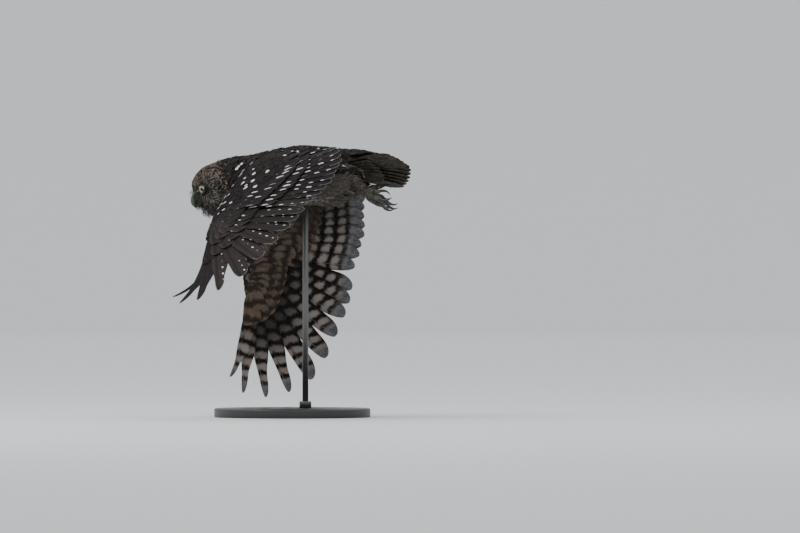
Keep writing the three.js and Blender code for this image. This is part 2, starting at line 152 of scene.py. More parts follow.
# White spots of the near side: pixels of the photo at the middle of each, larger ones first
LARGE_SPOTS = [(243, 183), (245.7, 187), (253.5, 180.6), (254.5, 185), (259, 187.5), (254, 173.5),
               (269, 172.6), (266, 186), (271, 180), (292, 202), (287, 199)]
SMALL_SPOTS = [(245, 178.6), (237.8, 172), (239.6, 169), (241.4, 166), (223.6, 195), (220, 198.5), (224, 201),
               (219, 203.8), (225.7, 206), (220, 211), (254, 195), (233, 201), (236, 209.6), (252, 209),
               (264.6, 209), (277, 211), (279.6, 176), (283, 173.7), (287, 183), (299, 160), (304, 155),
               (297, 163.5), (310, 165.5), (270, 197.6)]
# Spots: half widths, reach to a feather, distance in from its tip, and how far that feather stands up
SMALL_SPOT, LARGE_SPOT = 1.5, 2.3
SPOT_REACH = 3.5
SPOT_INSET = 2.5
SPOT_LIFT = 0.6


# Geometry

def place(points):
    """Bird frame in millimetres to the part's frame in metres: a turn about x by the bank, then a shift."""
    x, y, z = np.moveaxis(np.asarray(points, float), -1, 0)
    c, s = np.cos(BANK), np.sin(BANK)
    return (np.stack([x, y * c + z * s, z * c - y * s], -1) + SHOULDERS) * MM


def turn(vectors, axis, angle):
    """Vectors turned about the x, y or z axis by the right-hand rule."""
    v = np.array(vectors, float)
    a, b = {"x": (1, 2), "y": (2, 0), "z": (0, 1)}[axis]
    c, s = np.cos(angle), np.sin(angle)
    va, vb = v[..., a].copy(), v[..., b].copy()
    v[..., a], v[..., b] = va * c - vb * s, va * s + vb * c
    return v


def head_turned(vectors):
    """Directions of the head frame in the bird frame: pitched up, turned aside and rolled."""
    return turn(turn(turn(vectors, "y", -HEAD_PITCH), "z", HEAD_YAW), "x", HEAD_ROLL)


def from_head(points):
    """Head frame to bird frame: turned, then set on the neck."""
    return head_turned(points) + HEAD_PLACE


def to_head(points):
    """Bird frame to head frame, the same steps undone in reverse."""
    return turn(turn(turn(points - HEAD_PLACE, "x", -HEAD_ROLL), "z", -HEAD_YAW), "y", HEAD_PITCH)


def smooth(value, low, high):
    """The smooth step 3t^2 - 2t^3 of t, which runs from 0 at low to 1 at high."""
    t = np.clip((value - low) / (high - low), 0, 1)
    return t * t * (3 - 2 * t)


def mix(a, b, t):
    return a + (b - a) * t


def size_of(v):
    return np.linalg.norm(v, axis=-1, keepdims=True)


def unit(v):
    return v / np.maximum(size_of(v), 1e-9)


def flat_on(v, normal):
    """The part of v that lies in the plane square to normal, at unit length."""
    return unit(v - (v * normal).sum(-1, keepdims=True) * normal)


def curve_through(rows, t):
    """A Catmull-Rom curve through the rows of an array, at places t from 0 to 1."""
    rows = np.asarray(rows, float)
    padded = np.vstack([2 * rows[0] - rows[1], rows, 2 * rows[-1] - rows[-2]])
    u = np.clip(np.asarray(t, float), 0, 1) * (len(rows) - 1)
    k = np.minimum(u.astype(int), len(rows) - 2)
    f = (u - k)[..., None]
    a, b, c, d = (padded[k + i] for i in range(4))
    square = (2 * a - 5 * b + 4 * c - d) * f ** 2
    return 0.5 * (2 * b + (c - a) * f + square + (3 * b - a - 3 * c + d) * f ** 3)


def even_path(points, radii, count):
    """Points at even distances along a curve through points, with the radii a curve gives there."""
    fine = curve_through(points, np.linspace(0, 1, 400))
    walked = np.concatenate([[0], np.cumsum(np.linalg.norm(np.diff(fine, axis=0), axis=1))])
    t = np.interp(np.linspace(0, walked[-1], count), walked, np.linspace(0, 1, 400))
    places = np.linspace(0, 1, count)
    return curve_through(points, t), curve_through(np.array(radii, float)[:, None], places)[:, 0]


# Meshes

def add_mesh(name, points, faces, material, smooth_faces=True):
    """A new object at the origin from points in metres and a list of arrays of faces with equal corners."""
    mesh = bpy.data.meshes.new(name)
    points = np.ascontiguousarray(points, np.float32).reshape(-1, 3)
    corners = np.concatenate([f.ravel() for f in faces]).astype(np.int32)
    sizes = np.concatenate([np.full(len(f), f.shape[1]) for f in faces])
    mesh.vertices.add(len(points))
    mesh.vertices.foreach_set("co", points.ravel())
    mesh.loops.add(len(corners))
    mesh.loops.foreach_set("vertex_index", corners)
    mesh.polygons.add(len(sizes))
    mesh.polygons.foreach_set("loop_start", np.concatenate([[0], np.cumsum(sizes)[:-1]]).astype(np.int32))
    mesh.update(calc_edges=True)
    mesh.polygons.foreach_set("use_smooth", np.full(len(sizes), smooth_faces))
    mesh.materials.append(material)
    piece = bpy.data.objects.new(name, mesh)
    bpy.context.scene.collection.objects.link(piece)
    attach(piece, "root")
    return piece


def add_map(piece, name, pairs):
    """A UV map from one pair of numbers for each corner of each face."""
    layer = piece.data.uv_layers.new(name=name)
    layer.uv.foreach_set("vector", np.ascontiguousarray(pairs, np.float32).ravel())


def add_mark(piece, name, values):
    """A number for each vertex, which the materials read by its name."""
    mark = piece.data.attributes.new(name, "FLOAT", "POINT")
    mark.data.foreach_set("value", np.ascontiguousarray(values, np.float32).ravel())


def ring_faces(rows, around):
    """The row and the column of each corner of the quads between rings, counted past the last column."""
    j, k = np.meshgrid(np.arange(rows - 1), np.arange(around), indexing="ij")
    row = np.stack([j, j, j + 1, j + 1], -1).reshape(-1, 4)
    column = np.stack([k, k + 1, k + 1, k], -1).reshape(-1, 4)
    return row, column


def outward(points, quads):
    """True if quads of closed shapes face outwards: the sum of the volumes under them is positive."""
    a, b, c, d = (points[quads[:, i]] for i in range(4))
    return (np.cross(c - a, d - b) * (a + b + c + d)).sum() > 0


def closed_tube(name, points, material, marks=None):
    """A closed skin over a grid of rings in metres, with one face at each end."""
    rows, around = points.shape[:2]
    row, column = ring_faces(rows, around)
    quads = row * around + column % around
    caps = np.stack([np.arange(around)[::-1], np.arange(around) + (rows - 1) * around])
    flat = points.reshape(-1, 3)
    if not outward(flat - flat.mean(0), quads):
        quads, caps = quads[:, ::-1], caps[:, ::-1]
    piece = add_mesh(name, flat, [quads, caps], material)
    for mark, values in (marks or {}).items():
        add_mark(piece, mark, values)
    return piece


def shell(name, points, material, marks=None):
    """A closed tube from rings in the bird's frame."""
    return closed_tube(name, place(points), material, marks)


def closed_ring(name, rings, material):
    """A closed band: rings joined to each other and the last to the first."""
    rows, around = rings.shape[:2]
    row, column = ring_faces(rows + 1, around)
    quads = (row % rows) * around + column % around
    flat = rings.reshape(-1, 3)
    centred = (rings - rings.mean(1, keepdims=True)).reshape(-1, 3)
    if not outward(centred, quads):
        quads = quads[:, ::-1]
    return add_mesh(name, place(flat), [quads], material)


def tube(path, radii, sides=20, flatness=1.0, upwards=(0.13, 0.21, 0.97)):
    """Rings of the given radii that stand square to a path, flattened along the direction upwards."""
    along = unit(np.gradient(path, axis=0))
    side = unit(np.cross(along, upwards))
    up = np.cross(side, along)
    angle = np.linspace(0, 2 * np.pi, sides, endpoint=False)
    ring = side[:, None] * np.cos(angle)[:, None] + up[:, None] * (flatness * np.sin(angle))[:, None]
    return path[:, None] + ring * np.asarray(radii, float)[:, None, None]


# Flesh: how far a point lies outside the skin

fine_trunk = curve_through(TRUNK, np.linspace(0, 1, 300))


def trunk_at(x):
    """Height of the centre, half width and half height of the trunk at a distance along it."""
    return tuple(np.interp(x, fine_trunk[:, 0], fine_trunk[:, i]) for i in (1, 2, 3))


def outside_trunk(p):
    """How far past the ellipse of its station a point is, times the mean radius, and past the ends if more."""
    middle, wide, high = trunk_at(p[..., 0])
    ratio = np.hypot(p[..., 1] / wide, (p[..., 2] - middle) / high)
    ends = np.maximum(TRUNK[0, 0] - p[..., 0], p[..., 0] - TRUNK[-1, 0])
    return np.maximum((ratio - 1) * np.sqrt(wide * high), ends)


def skull_reach(direction):
    """Distance from the head's centre to its surface: an ellipsoid cut by two flat faces, softly joined."""
    round_part = 1 / np.linalg.norm(direction / HEAD_RADII, axis=-1)
    facing = -direction[..., 0] * np.cos(FACE_TURN) + np.abs(direction[..., 1]) * np.sin(FACE_TURN)
    flat_part = np.where(facing > 0.2, FACE_DEPTH / np.maximum(facing, 0.2), 99)
    return (round_part ** -8 + flat_part ** -8) ** (-1 / 8)


def outside_skull(p):
    """A point's distance from the head's centre, less the reach of the head in its direction."""
    q = to_head(p)
    return size_of(q)[..., 0] - skull_reach(unit(q))


def shank_path(name, count):
    """Thigh and shank: down from inside the belly to the heel, then straight to the ankle."""
    side = SIDES[name]
    heel = np.array([97.0, side * 13, -12])
    points = [[50, side * 14, -14], [70, side * 15, -18], [85, side * 14, -15], heel,
              mix(heel, ANKLES[name], 0.5), ANKLES[name]]
    return even_path(points, SHANK_RADII, count)


shanks = [shank_path(name, 22) for name in SIDES]


def outside_shanks(p):
    """Distance to the nearest of the balls that fill both legs."""
    nearest = [np.linalg.norm(p[..., None, :] - path, axis=-1) - size for path, size in shanks]
    return np.min(np.concatenate(nearest, -1), -1)


def outside_skin(p):
    """Distance outside the skin: trunk, head and legs, each set in by its coat and joined by a soft least."""
    parts = [outside_trunk(p) + BODY_COAT, outside_skull(p) + HEAD_COAT, outside_shanks(p) + LEG_COAT]
    blend = 3.0
    return -blend * np.log(np.exp(-np.clip(np.stack(parts), -60, 60) / blend).sum(0))


def outside_flesh(p):
    """Distance outside the skin or the nearer eyeball in its lids, whichever is less."""
    eyes = [from_head(EYE_PLACE * np.array([1, side, 1])) for side in SIDES.values()]
    balls = [size_of(p - centre)[..., 0] - EYE_RADIUS - LID_HEIGHT for centre in eyes]
    return np.minimum(outside_skin(p), np.minimum(*balls))


def slope_of(p, outside=outside_flesh):
    """The outward direction of a surface at points, from differences over a fifth of a millimetre."""
    step = 0.2
    here = outside(p)
    grown = [outside(p + step * axis) - here for axis in np.eye(3)]
    return here, np.stack(grown, -1) / step


def drape(p, height, rounds=3, outside=outside_flesh):
    """Moves points along the slope of a surface until each lies at its height above it."""
    for _ in range(rounds):
        here, slope = slope_of(p, outside)
        steep = np.maximum((slope ** 2).sum(-1), 0.2)
        p = p - ((here - height) / steep)[..., None] * slope
    return p


# Shader maths

class Link:
    """One output of a node, which adds the nodes of an expression when it is used in one."""

    def __init__(self, finish, socket):
        self.finish, self.socket = finish, socket

    def maths(self, operation, *values):
        return self.finish.node("Math", {"operation": operation}, dict(enumerate(values)))

    def __add__(self, other):
        return self.maths("ADD", self, other)

    def __radd__(self, other):
        return self.maths("ADD", other, self)

    def __sub__(self, other):
        return self.maths("SUBTRACT", self, other)

    def __rsub__(self, other):
        return self.maths("SUBTRACT", other, self)

    def __mul__(self, other):
        return self.maths("MULTIPLY", self, other)

    def __rmul__(self, other):
        return self.maths("MULTIPLY", other, self)

    def __truediv__(self, other):
        return self.maths("DIVIDE", self, other)

    def __abs__(self):
        return self.maths("ABSOLUTE", self)

    def fraction(self):
        return self.maths("FRACT", self)

    def floor(self):
        return self.maths("FLOOR", self)

    def sine(self):
        return self.maths("SINE", self)

    def root(self):
        return self.maths("SQRT", self)

    def most(self, other):
        return self.maths("MAXIMUM", self, other)

    def rise(self, low, high):
        """The smooth step from 0 at low to 1 at high."""
        settings = {"interpolation_type": "SMOOTHSTEP"}
        return self.finish.node("MapRange", settings, {"Value": self, "From Min": low, "From Max": high})


class Finish:
    """A material with one Principled shader."""

    def __init__(self, name, roughness=0.5, **constants):
        self.material = bpy.data.materials.new(name)
        self.material.use_nodes = True
        self.tree = self.material.node_tree
        self.tree.nodes.clear()
        self.shader = self.tree.nodes.new("ShaderNodeBsdfPrincipled")
        out = self.tree.nodes.new("ShaderNodeOutputMaterial")
        self.tree.links.new(self.shader.outputs[0], out.inputs[0])
        self.shader.inputs["Roughness"].default_value = roughness
        for key, value in constants.items():
            self.shader.inputs[key.replace("_", " ")].default_value = value

    def feed(self, socket, value):
        if isinstance(value, Link):
            self.tree.links.new(value.socket, socket)
        elif isinstance(value, tuple) and len(value) == 3 and socket.type == "RGBA":
            socket.default_value = (*value, 1)
        else:
            socket.default_value = value

    def node(self, kind, settings=None, values=None, output=0):
        """A node of a type, with its settings set first and then the values or links of its sockets."""
        made = self.tree.nodes.new("ShaderNode" + kind)
        for key, value in (settings or {}).items():
            setattr(made, key, value)
        for key, value in (values or {}).items():
            self.feed(made.inputs[key], value)
        return Link(self, made.outputs[output])

    def set(self, key, value):
        self.feed(self.shader.inputs[key], value)

    def blend(self, first, second, factor):
        """One colour turned into another by a factor."""
        return self.node("Mix", {"data_type": "RGBA"}, {0: factor, 6: first, 7: second}, output=2)

    def mark(self, name):
        return self.node("Attribute", {"attribute_name": name}, output=2)

    def map(self, name):
        """The two numbers of a UV map."""
        pair = self.node("UVMap", {"uv_map": name})
        split = self.tree.nodes.new("ShaderNodeSeparateXYZ")
        self.tree.links.new(pair.socket, split.inputs[0])
        return Link(self, split.outputs[0]), Link(self, split.outputs[1])

    def object_place(self):
        return self.node("TexCoord", output=3)

    def noise(self, size, detail=2.0):
        """Cloudy numbers whose clouds are about size millimetres across."""
        values = {"Vector": self.object_place(), "Scale": 1 / (size * MM), "Detail": detail}
        return self.node("TexNoise", values=values)

    def grain(self, across, along):
        """Noise in a plane from two numbers of about 1 to each grain."""
        place_in = self.node("CombineXYZ", values={0: across, 1: along})
        return self.node("TexNoise", {"noise_dimensions": "2D"}, {"Vector": place_in, "Scale": 1.0})

    def draw(self, first, second):
        """A random number for each pair of whole numbers."""
        pair = self.node("CombineXYZ", values={0: first, 1: second})
        return self.node("TexWhiteNoise", {"noise_dimensions": "2D"}, {"Vector": pair})

    def bump(self, height, depth, strength=1.0):
        """Lets a height shape the normal, with its full rise given in millimetres."""
        values = {"Height": height, "Distance": depth * MM, "Strength": strength}
        self.set("Normal", self.node("Bump", values=values))


DARK_BROWN = (0.0105, 0.0088, 0.0088)
WARM_BROWN = (0.031, 0.0245, 0.022)
PINK_BROWN = (0.052, 0.037, 0.034)
RUSTY_BUFF = (0.20, 0.145, 0.11)
CREAM = (0.38, 0.365, 0.32)
EDGE_GREY = (0.24, 0.23, 0.225)
SPOT_WHITE = (0.58, 0.57, 0.60)


def plumage(name, wavy=False):
    """Small feathers: brown by tone, pale by region, a line along the shaft and a white spot near the tip.

    The mark line is the half width of a light line in millimetres, or of a dark one where it is less than 0.
    Wavy feathers also have light squiggles that run on from one feather to the next.
    """
    f = Finish(name, 0.8, Specular_IOR_Level=0.08)
    across, back = f.map("vane")
    tone, pale, rust, spot, line = (f.mark(key) for key in ("tone", "pale", "rust", "spot", "line"))
    clouds, speckle = f.noise(6.0, 3.0), f.noise(0.9, 2.0)

    def stripe(width):
        return (1 - (abs(across) / (width + 0.01)).rise(0.6, 1.3)) * width.rise(0.02, 0.1)

    brown = f.blend(DARK_BROWN, WARM_BROWN, (tone * 0.7 + clouds * 0.4 + speckle * 0.4 - 0.3).rise(0.0, 1.0))
    light = f.blend(CREAM, RUSTY_BUFF, rust)
    ground = f.blend(brown, light, pale * (speckle.rise(0.25, 0.7) * 0.6 + 0.4))
    ground = f.blend(ground, DARK_BROWN, stripe((0 - line).most(0.0)) * 0.9)
    ground = f.blend(ground, light, stripe(line.most(0.0)) * back.rise(0.1, 0.5))
    if wavy:
        ridge = 1 - abs(f.noise(4.6, 1.0) - 0.5).rise(0.02, 0.065)
        ground = f.blend(ground, light, ridge * rust.rise(0.3, 0.8) * (speckle * 0.6 + 0.45))
    ground = f.blend(ground, EDGE_GREY, (1 - back.rise(0.05, 0.5)) * 0.25)
    lengthwise = back - spot * 1.2 - 0.3
    away = (across * across + lengthwise * lengthwise * 0.42).root() + speckle * 0.5 - 0.25
    inside = (1 - (away / (spot + 0.01)).rise(0.85, 1.05)) * spot.rise(0.05, 0.2)
    f.set("Base Color", f.blend(ground, SPOT_WHITE, inside))
    barbs = ((abs(across) * 0.8 + back) * 9).sine()
    f.bump(barbs * 0.5 + clouds, 0.12, 0.5)
    return f.material


def flight_plumage(name, spacing=13.5, reach=6.0, barred=True):
    """Long feathers: thin white dashes above, soft pale blotches between dark bars below, with painted shade
    towards the root, thin pale edges.

    The dashes grow with the mark bold and the blotches with the mark light, which also holds painted shade on
    the feathers by the body. The mark rust turns the brown pinkish, plain marks feathers whose tips are plain
    grey below, and rim is the distance from the edge.
    """
    f = Finish(name, 0.68, Specular_IOR_Level=0.05)
    across, back = f.map("vane")
    tone, rust, bold, light, plain = (f.mark(key) for key in ("tone", "rust", "bold", "light", "plain"))
    under, rim = f.mark("under"), f.mark("rim")
    clouds, streaks = f.noise(5.0, 3.0), f.grain(across * 4, back * 0.2)
    travelled = (back - 9 + abs(across) * 0.3 + tone * 5) / spacing
    luck = f.draw(travelled.floor() + across.rise(-0.01, 0.01) * 31, tone * 97)
    along = (travelled.fraction() - 0.5) * spacing
    side = abs(across) - reach

    brown = f.blend(DARK_BROWN, WARM_BROWN, (tone * 0.5 + clouds * 0.6 + streaks * 0.7 - 0.65).rise(0.0, 1.0))
    brown = f.blend(brown, PINK_BROWN, rust * (streaks * 0.9 + clouds * 0.6 - 0.35))
    brown = f.blend(brown, DARK_BROWN, (1 - abs(across).rise(0.3, 2.5)) * 0.6)
    dash = (along * along * 0.16 + side * side * 0.9).root() + clouds * 0.6 - 0.3
    dashes = 1 - (dash / (luck * bold * 1.6 + 0.01)).rise(0.8, 1.15)
    dashes = dashes * luck.rise(0.35, 0.45) * back.rise(4.0, 7.0)
    above = f.blend(brown, SPOT_WHITE, dashes)
    edge = (1 - rim.rise(0.3, 0.95)) * (1 - back.rise(7.0, 18.0))
    above = f.blend(above, EDGE_GREY, edge * (streaks * 0.5 + 0.35) * (plain * 0.75 + 0.25))

    if barred:
        middle = side + 1.2
        shape = f.noise(3.2, 2.0)
        away = (along * along + middle * middle * 0.5).root() + shape * 5.0 - 2.5 + streaks * 1.6 - 0.8
        pale = f.blend((0.29, 0.255, 0.235), (0.29, 0.23, 0.19), luck.rise(0.5, 1.0))
        # painted shade: the pale blotches below turn dark brown towards the feather's root, where the wing's
        # underside lies in shadow
        pale = f.blend(pale, (0.052, 0.046, 0.041), back.rise(34.0, 80.0))
        pale = f.blend((0.135, 0.102, 0.077), pale, plain)
        ground = f.blend((0.032, 0.0245, 0.0195), (0.0115, 0.0098, 0.0088), plain)
        below = f.blend(ground, pale, (1 - away.rise(2.4, 6.0)) * light * (streaks * 0.5 + 0.6))
        cloudy = (streaks + clouds * 0.8 - 0.45).rise(0.1, 0.9)
        bare = f.blend((0.060, 0.058, 0.060), (0.20, 0.195, 0.20), cloudy)
        below = f.blend(below, bare, (1 - back.rise(7.0, 22.0)) * plain)
    else:
        lined = (streaks * 1.3 + clouds - 0.65).rise(0.1, 0.9)
        below = f.blend((0.015, 0.013, 0.010), (0.095, 0.082, 0.066), lined)
    shaft = 1 - (abs(across) - 0.2).rise(0.0, 0.4)
    below = f.blend(below, EDGE_GREY, shaft * light * (1 - back.rise(20.0, 60.0)) * plain * 0.4)
    f.set("Base Color", f.blend(above, below, under.rise(0.45, 0.55)))
    barbs = ((abs(across) * 0.8 + back) * 7).sine()
    f.bump(barbs * 0.35 + shaft, 0.15, 0.5)
    return f.material


def skin_finish(name):
    """Skin under the coat: the same brown and pale as the feathers over it."""
    f = Finish(name, 0.85, Specular_IOR_Level=0.1)
    clouds = f.noise(5.0, 3.0)
    brown = f.blend(DARK_BROWN, WARM_BROWN, clouds)
    f.set("Base Color", f.blend(brown, CREAM, f.mark("pale") * 0.6))
    f.bump(clouds, 0.3)
    return f.material


def scaly_finish(name):
    """Toe skin: small rounded scales, dark in the seams."""
    f = Finish(name, 0.5)
    place_on = f.object_place()
    cells = f.node("TexVoronoi", {"feature": "DISTANCE_TO_EDGE"}, {"Vector": place_on, "Scale": 1400.0})
    clouds = f.noise(4.0)
    skin = f.blend((0.050, 0.046, 0.037), (0.19, 0.17, 0.115), clouds.rise(0.4, 0.75))
    f.set("Base Color", f.blend((0.022, 0.020, 0.016), skin, cells.rise(0.0, 0.1)))
    f.bump(cells.rise(0.0, 0.25), 0.3)
    return f.material


def horn_finish(name, dark, light, shade_from, shade_to, roughness=0.28):
    """Smooth horn that darkens along the mark called out, with faint streaks."""
    f = Finish(name, roughness, Coat_Weight=0.3, Coat_Roughness=0.2)
    streaks = f.noise(1.6, 3.0)
    horn = f.blend(light, dark, (f.mark("out") + streaks * 0.25 - 0.12).rise(shade_from, shade_to))
    f.set("Base Color", horn)
    f.set("Roughness", streaks * 0.2 + roughness)
    f.bump(streaks, 0.05)
    return f.material


def eye_finish(name):
    """Eye: black pupil, pale yellow iris with rays and a dark rim, dark outside it, all under a wet gloss."""
    f = Finish(name, 0.08, Coat_Weight=0.2, Coat_Roughness=0.02, Specular_IOR_Level=0.2)
    turn_mark, out = f.map("eye")
    rays = f.grain(turn_mark * 60, out * 0.6)
    iris = f.blend((0.40, 0.36, 0.17), (0.55, 0.52, 0.31), rays.rise(0.3, 0.7))
    iris = f.blend(iris, (0.14, 0.11, 0.04), out.rise(4.6, 5.4))
    iris = f.blend((0.10, 0.08, 0.03), iris, out.rise(1.75, 2.2))
    iris = f.blend((0.002, 0.002, 0.002), iris, out.rise(1.7, 1.85))
    f.set("Base Color", f.blend(iris, (0.010, 0.009, 0.008), out.rise(5.4, 5.7)))
    return f.material


def lid_finish(name):
    """Dark, finely wrinkled eyelid skin."""
    f = Finish(name, 0.45)
    grain = f.noise(0.7, 3.0)
    f.set("Base Color", f.blend((0.012, 0.011, 0.010), (0.040, 0.036, 0.030), grain))
    f.bump(grain, 0.12)
    return f.material


def bristle_finish(name):
    """Stiff bristles, grey at the root and black at the end."""
    f = Finish(name, 0.6, Specular_IOR_Level=0.2)
    f.set("Base Color", f.blend((0.105, 0.102, 0.082), (0.012, 0.011, 0.010), f.mark("out").rise(0.35, 1.0)))
    return f.material


def stand_paint(name):
    """Dark satin paint with a faint orange-peel and a few dusty clouds."""
    f = Finish(name, 0.42)
    peel, dust = f.noise(0.8, 1.0), f.noise(30.0, 4.0)
    f.set("Base Color", f.blend((0.028, 0.027, 0.026), (0.040, 0.038, 0.036), dust))
    f.set("Roughness", dust * 0.18 + 0.34)
    f.bump(peel, 0.02, 0.4)
    return f.material


def brushed_steel(name):
    """Steel brushed round and round, with fine streaks and slight tarnish."""
    f = Finish(name, 0.3, Metallic=1.0)
    centred = f.node("Mapping", values={"Vector": f.object_place(), "Scale": (60.0, 60.0, 4000.0)})
    streaks = f.node("TexNoise", values={"Vector": centred, "Scale": 1.0, "Detail": 2.0})
    f.set("Base Color", f.blend((0.13, 0.13, 0.127), (0.18, 0.18, 0.176), streaks))
    f.set("Roughness", streaks * 0.2 + 0.34)
    f.bump(streaks, 0.01, 0.5)
    return f.material


def floor_finish(name):
    """Plain pale paper."""
    f = Finish(name, 0.9)
    cloth = f.noise(1.2, 2.0)
    f.set("Base Color", f.blend((0.62, 0.625, 0.63), (0.66, 0.665, 0.67), cloth))
    return f.material


brown_plumage = plumage("brown body feathers")
head_plumage = plumage("streaked head feathers", wavy=True)
wing_small_plumage = plumage("wing covert feathers")
wing_plumage = flight_plumage("barred flight feathers")
tail_plumage = flight_plumage("lined tail feathers", spacing=14.0, reach=4.5, barred=False)
skin_material = skin_finish("skin under the feathers")
toe_material = scaly_finish("scaly toe skin")
claw_material = horn_finish("black claw horn", (0.006, 0.006, 0.006), (0.030, 0.026, 0.022), 0.0, 0.5)
bill_material = horn_finish("grey-green bill horn", (0.014, 0.014, 0.011), (0.095, 0.095, 0.068), 0.3, 0.95)
eye_material = eye_finish("yellow eye")
lid_material = lid_finish("dark eyelid skin")
bristle_material = bristle_finish("black bristle")
base_material = stand_paint("dark satin stand paint")
rod_material = brushed_steel("brushed stand steel")
floor_material = floor_finish("pale studio floor")


# Feathers

def sharpen(piece, around):
    """Marks both side edges of every vane as sharp, so that its thin blade isn't shaded as a round one."""
    mesh = piece.data
    ends = np.empty(len(mesh.edges) * 2, np.int32)
    mesh.edges.foreach_get("vertices", ends)
    column = ends.reshape(-1, 2) % around
    sharp = (column[:, 0] == column[:, 1]) & (column[:, 0] % (around // 2) == 0)
    mesh.attributes.new("sharp_edge", "BOOLEAN", "EDGE").data.foreach_set("value", sharp)


def add_feathers(name, rings, across, back, material, marks, grids=None, root_patch=None):
    """Closed vanes, each a tube of flattened rings from root to tip, all in one piece.

    rings holds points by feather, row and place round the ring; across and back are millimetres from the shaft
    and from the tip. The OFBake map gives each vane a small patch at its root's place, or a strip of the map.
    """
    count, rows, around = rings.shape[:3]
    row, column = ring_faces(rows, around)
    start = np.arange(count)[:, None, None] * rows * around
    quads = (start + row * around + column % around).reshape(-1, 4)
    first = start[:, :, 0] + np.arange(around)[::-1]
    last = start[:, :, 0] + (rows - 1) * around + np.arange(around)
    flat = rings.reshape(-1, 3)
    centred = (rings - rings.mean((1, 2), keepdims=True)).reshape(-1, 3)
    corner_row = np.broadcast_to(row, (count, *row.shape))
    corner_column = np.broadcast_to(column, (count, *column.shape))
    if not outward(centred, quads):
        quads, first, last = quads[:, ::-1], first[:, ::-1], last[:, ::-1]
        corner_row, corner_column = corner_row[..., ::-1], corner_column[..., ::-1]
    piece = add_mesh(name, place(flat), [quads, first, last], material)

    corners = np.concatenate([quads.ravel(), first.ravel(), last.ravel()])
    add_map(piece, "vane", np.stack([across.ravel()[corners], back.ravel()[corners]], -1))
    cap_row = np.concatenate([np.zeros(first.size), np.full(last.size, rows - 1)])
    cap_column = np.tile(np.arange(around), 2 * count)
    v = np.concatenate([corner_row.ravel(), cap_row]) / (rows - 1)
    u = np.concatenate([corner_column.ravel(), cap_column]) / around
    owner = corners // (rows * around)
    if root_patch is None:
        pairs = np.stack([(owner + 0.05 + 0.9 * u) / count, 0.02 + 0.96 * v], -1)
    else:
        pairs = root_patch[owner] * 0.995 + 0.003 * np.stack([u, v], -1)
    add_map(piece, "OFBake", pairs)
    if around % 2 == 0:
        sharpen(piece, around)
    for mark, values in marks.items():
        add_mark(piece, mark, np.repeat(np.broadcast_to(values, (count,)), rows * around))
    for mark, values in (grids or {}).items():
        add_mark(piece, mark, np.broadcast_to(values, (count, rows, around)))
    return piece


def long_feathers(name, surface, shafts, lead, trail, level, material, marks, reach=1.0, slope=SHINGLE,
                  slot=0.0, cup=0.5, rows=20, columns=9):
    """Quills along curves on a surface of the form surface(x, s, h).

    A shaft is a Bezier curve of root, middle and tip. At a part t of its reach the vane is lead wide before
    the shaft and trail wide behind it, opening from the root and rounded at the tip like a quarter circle.
    """
    root, middle, tip = shafts
    count = len(root)
    each = lambda value: np.broadcast_to(np.asarray(value, float), (count,))[:, None, None]
    t = 1 - (1 - np.linspace(0, 1, rows)) ** 1.5
    u = t[None, :, None] * each(reach)
    a, b, c = root[:, None, None], middle[:, None, None], tip[:, None, None]
    centre = (1 - u)[..., None] ** 2 * a + (2 * u * (1 - u))[..., None] * b + u[..., None] ** 2 * c
    along = unit((1 - u)[..., None] * (b - a) + u[..., None] * (c - b))
    opening = mix(0.35, 1, smooth(t, 0, 0.35))
    rounding = np.sqrt(1 - 0.97 * (np.maximum(0, t - 0.78) / 0.22) ** 2)
    profile = (opening * rounding)[None, :, None] * (1 - each(slot) * smooth(t, 0.5, 0.8)[None, :, None])
    q = np.linspace(-1, 1, columns)[None, None, :]
    width = np.where(q < 0, each(trail), each(lead))
    aside = q * width * profile
    sharp = 1 - smooth(t, 0.9, 1)[None, :, None] * 0.7
    half = VANE_THICK / 2 * (1 - q ** 2) * sharp + 0.28 * (1 - t[None, :, None]) * (q == 0)
    ripple = 0.25 * np.sin(t[None, :, None] * 9 + each(chance.uniform(0, 6, count)))
    height = each(level) + each(slope) * aside - cup * q ** 2 * profile + ripple * np.abs(q)
    x = centre[..., 0] - along[..., 1] * aside
    s = centre[..., 1] + along[..., 0] * aside
    top, low = surface(x, s, height + half), surface(x, s, height - half)
    rings = np.concatenate([top, low[:, :, -2:0:-1]], 2)
    both = lambda grid: np.concatenate([grid, grid[..., -2:0:-1]], -1)
    length = np.linalg.norm(tip - root, axis=-1)[:, None, None] * each(reach)
    back = np.broadcast_to((1 - t[None, :, None]) * length, aside.shape)
    face = np.concatenate([[0.5], np.zeros(columns - 2), [0.5], np.ones(columns - 2)])
    rim = both(np.minimum(width * profile * (1 - np.abs(q)), back))
    return add_feathers(name, rings, both(aside), both(back), material, marks, {"under": face, "rim": rim})


def small_rings(top, low_middle):
    """Four-sided rings from the left edge, the middle and the right edge of the top, and the middle below."""
    return np.concatenate([top, low_middle[:, :, None]], 2)


def small_shape(rows, loose=0.0):
    """Parts along a small feather, its outline as a share of its half width, and how far it has risen.

    A loose feather tapers over its whole length.
    """
    t = 1 - (1 - np.linspace(0, 1, rows)) ** 1.4
    outline = mix(0.3, 1, smooth(t, 0, 0.45)) * np.sqrt(1 - 0.93 * (np.maximum(0, t - 0.55) / 0.45) ** 2)
    return t, outline * (1 - loose * t), np.sin(t * np.pi / 2)


def small_maps(outline, t, length, width):
    """Millimetres from the shaft and from the tip, round each four-sided ring."""
    q = np.array([-1, 0, 1, 0])
    across = q * outline[None, :, None] * width[:, None, None]
    back = np.broadcast_to(((1 - t)[None, :] * length[:, None])[..., None], across.shape)
    return across, back


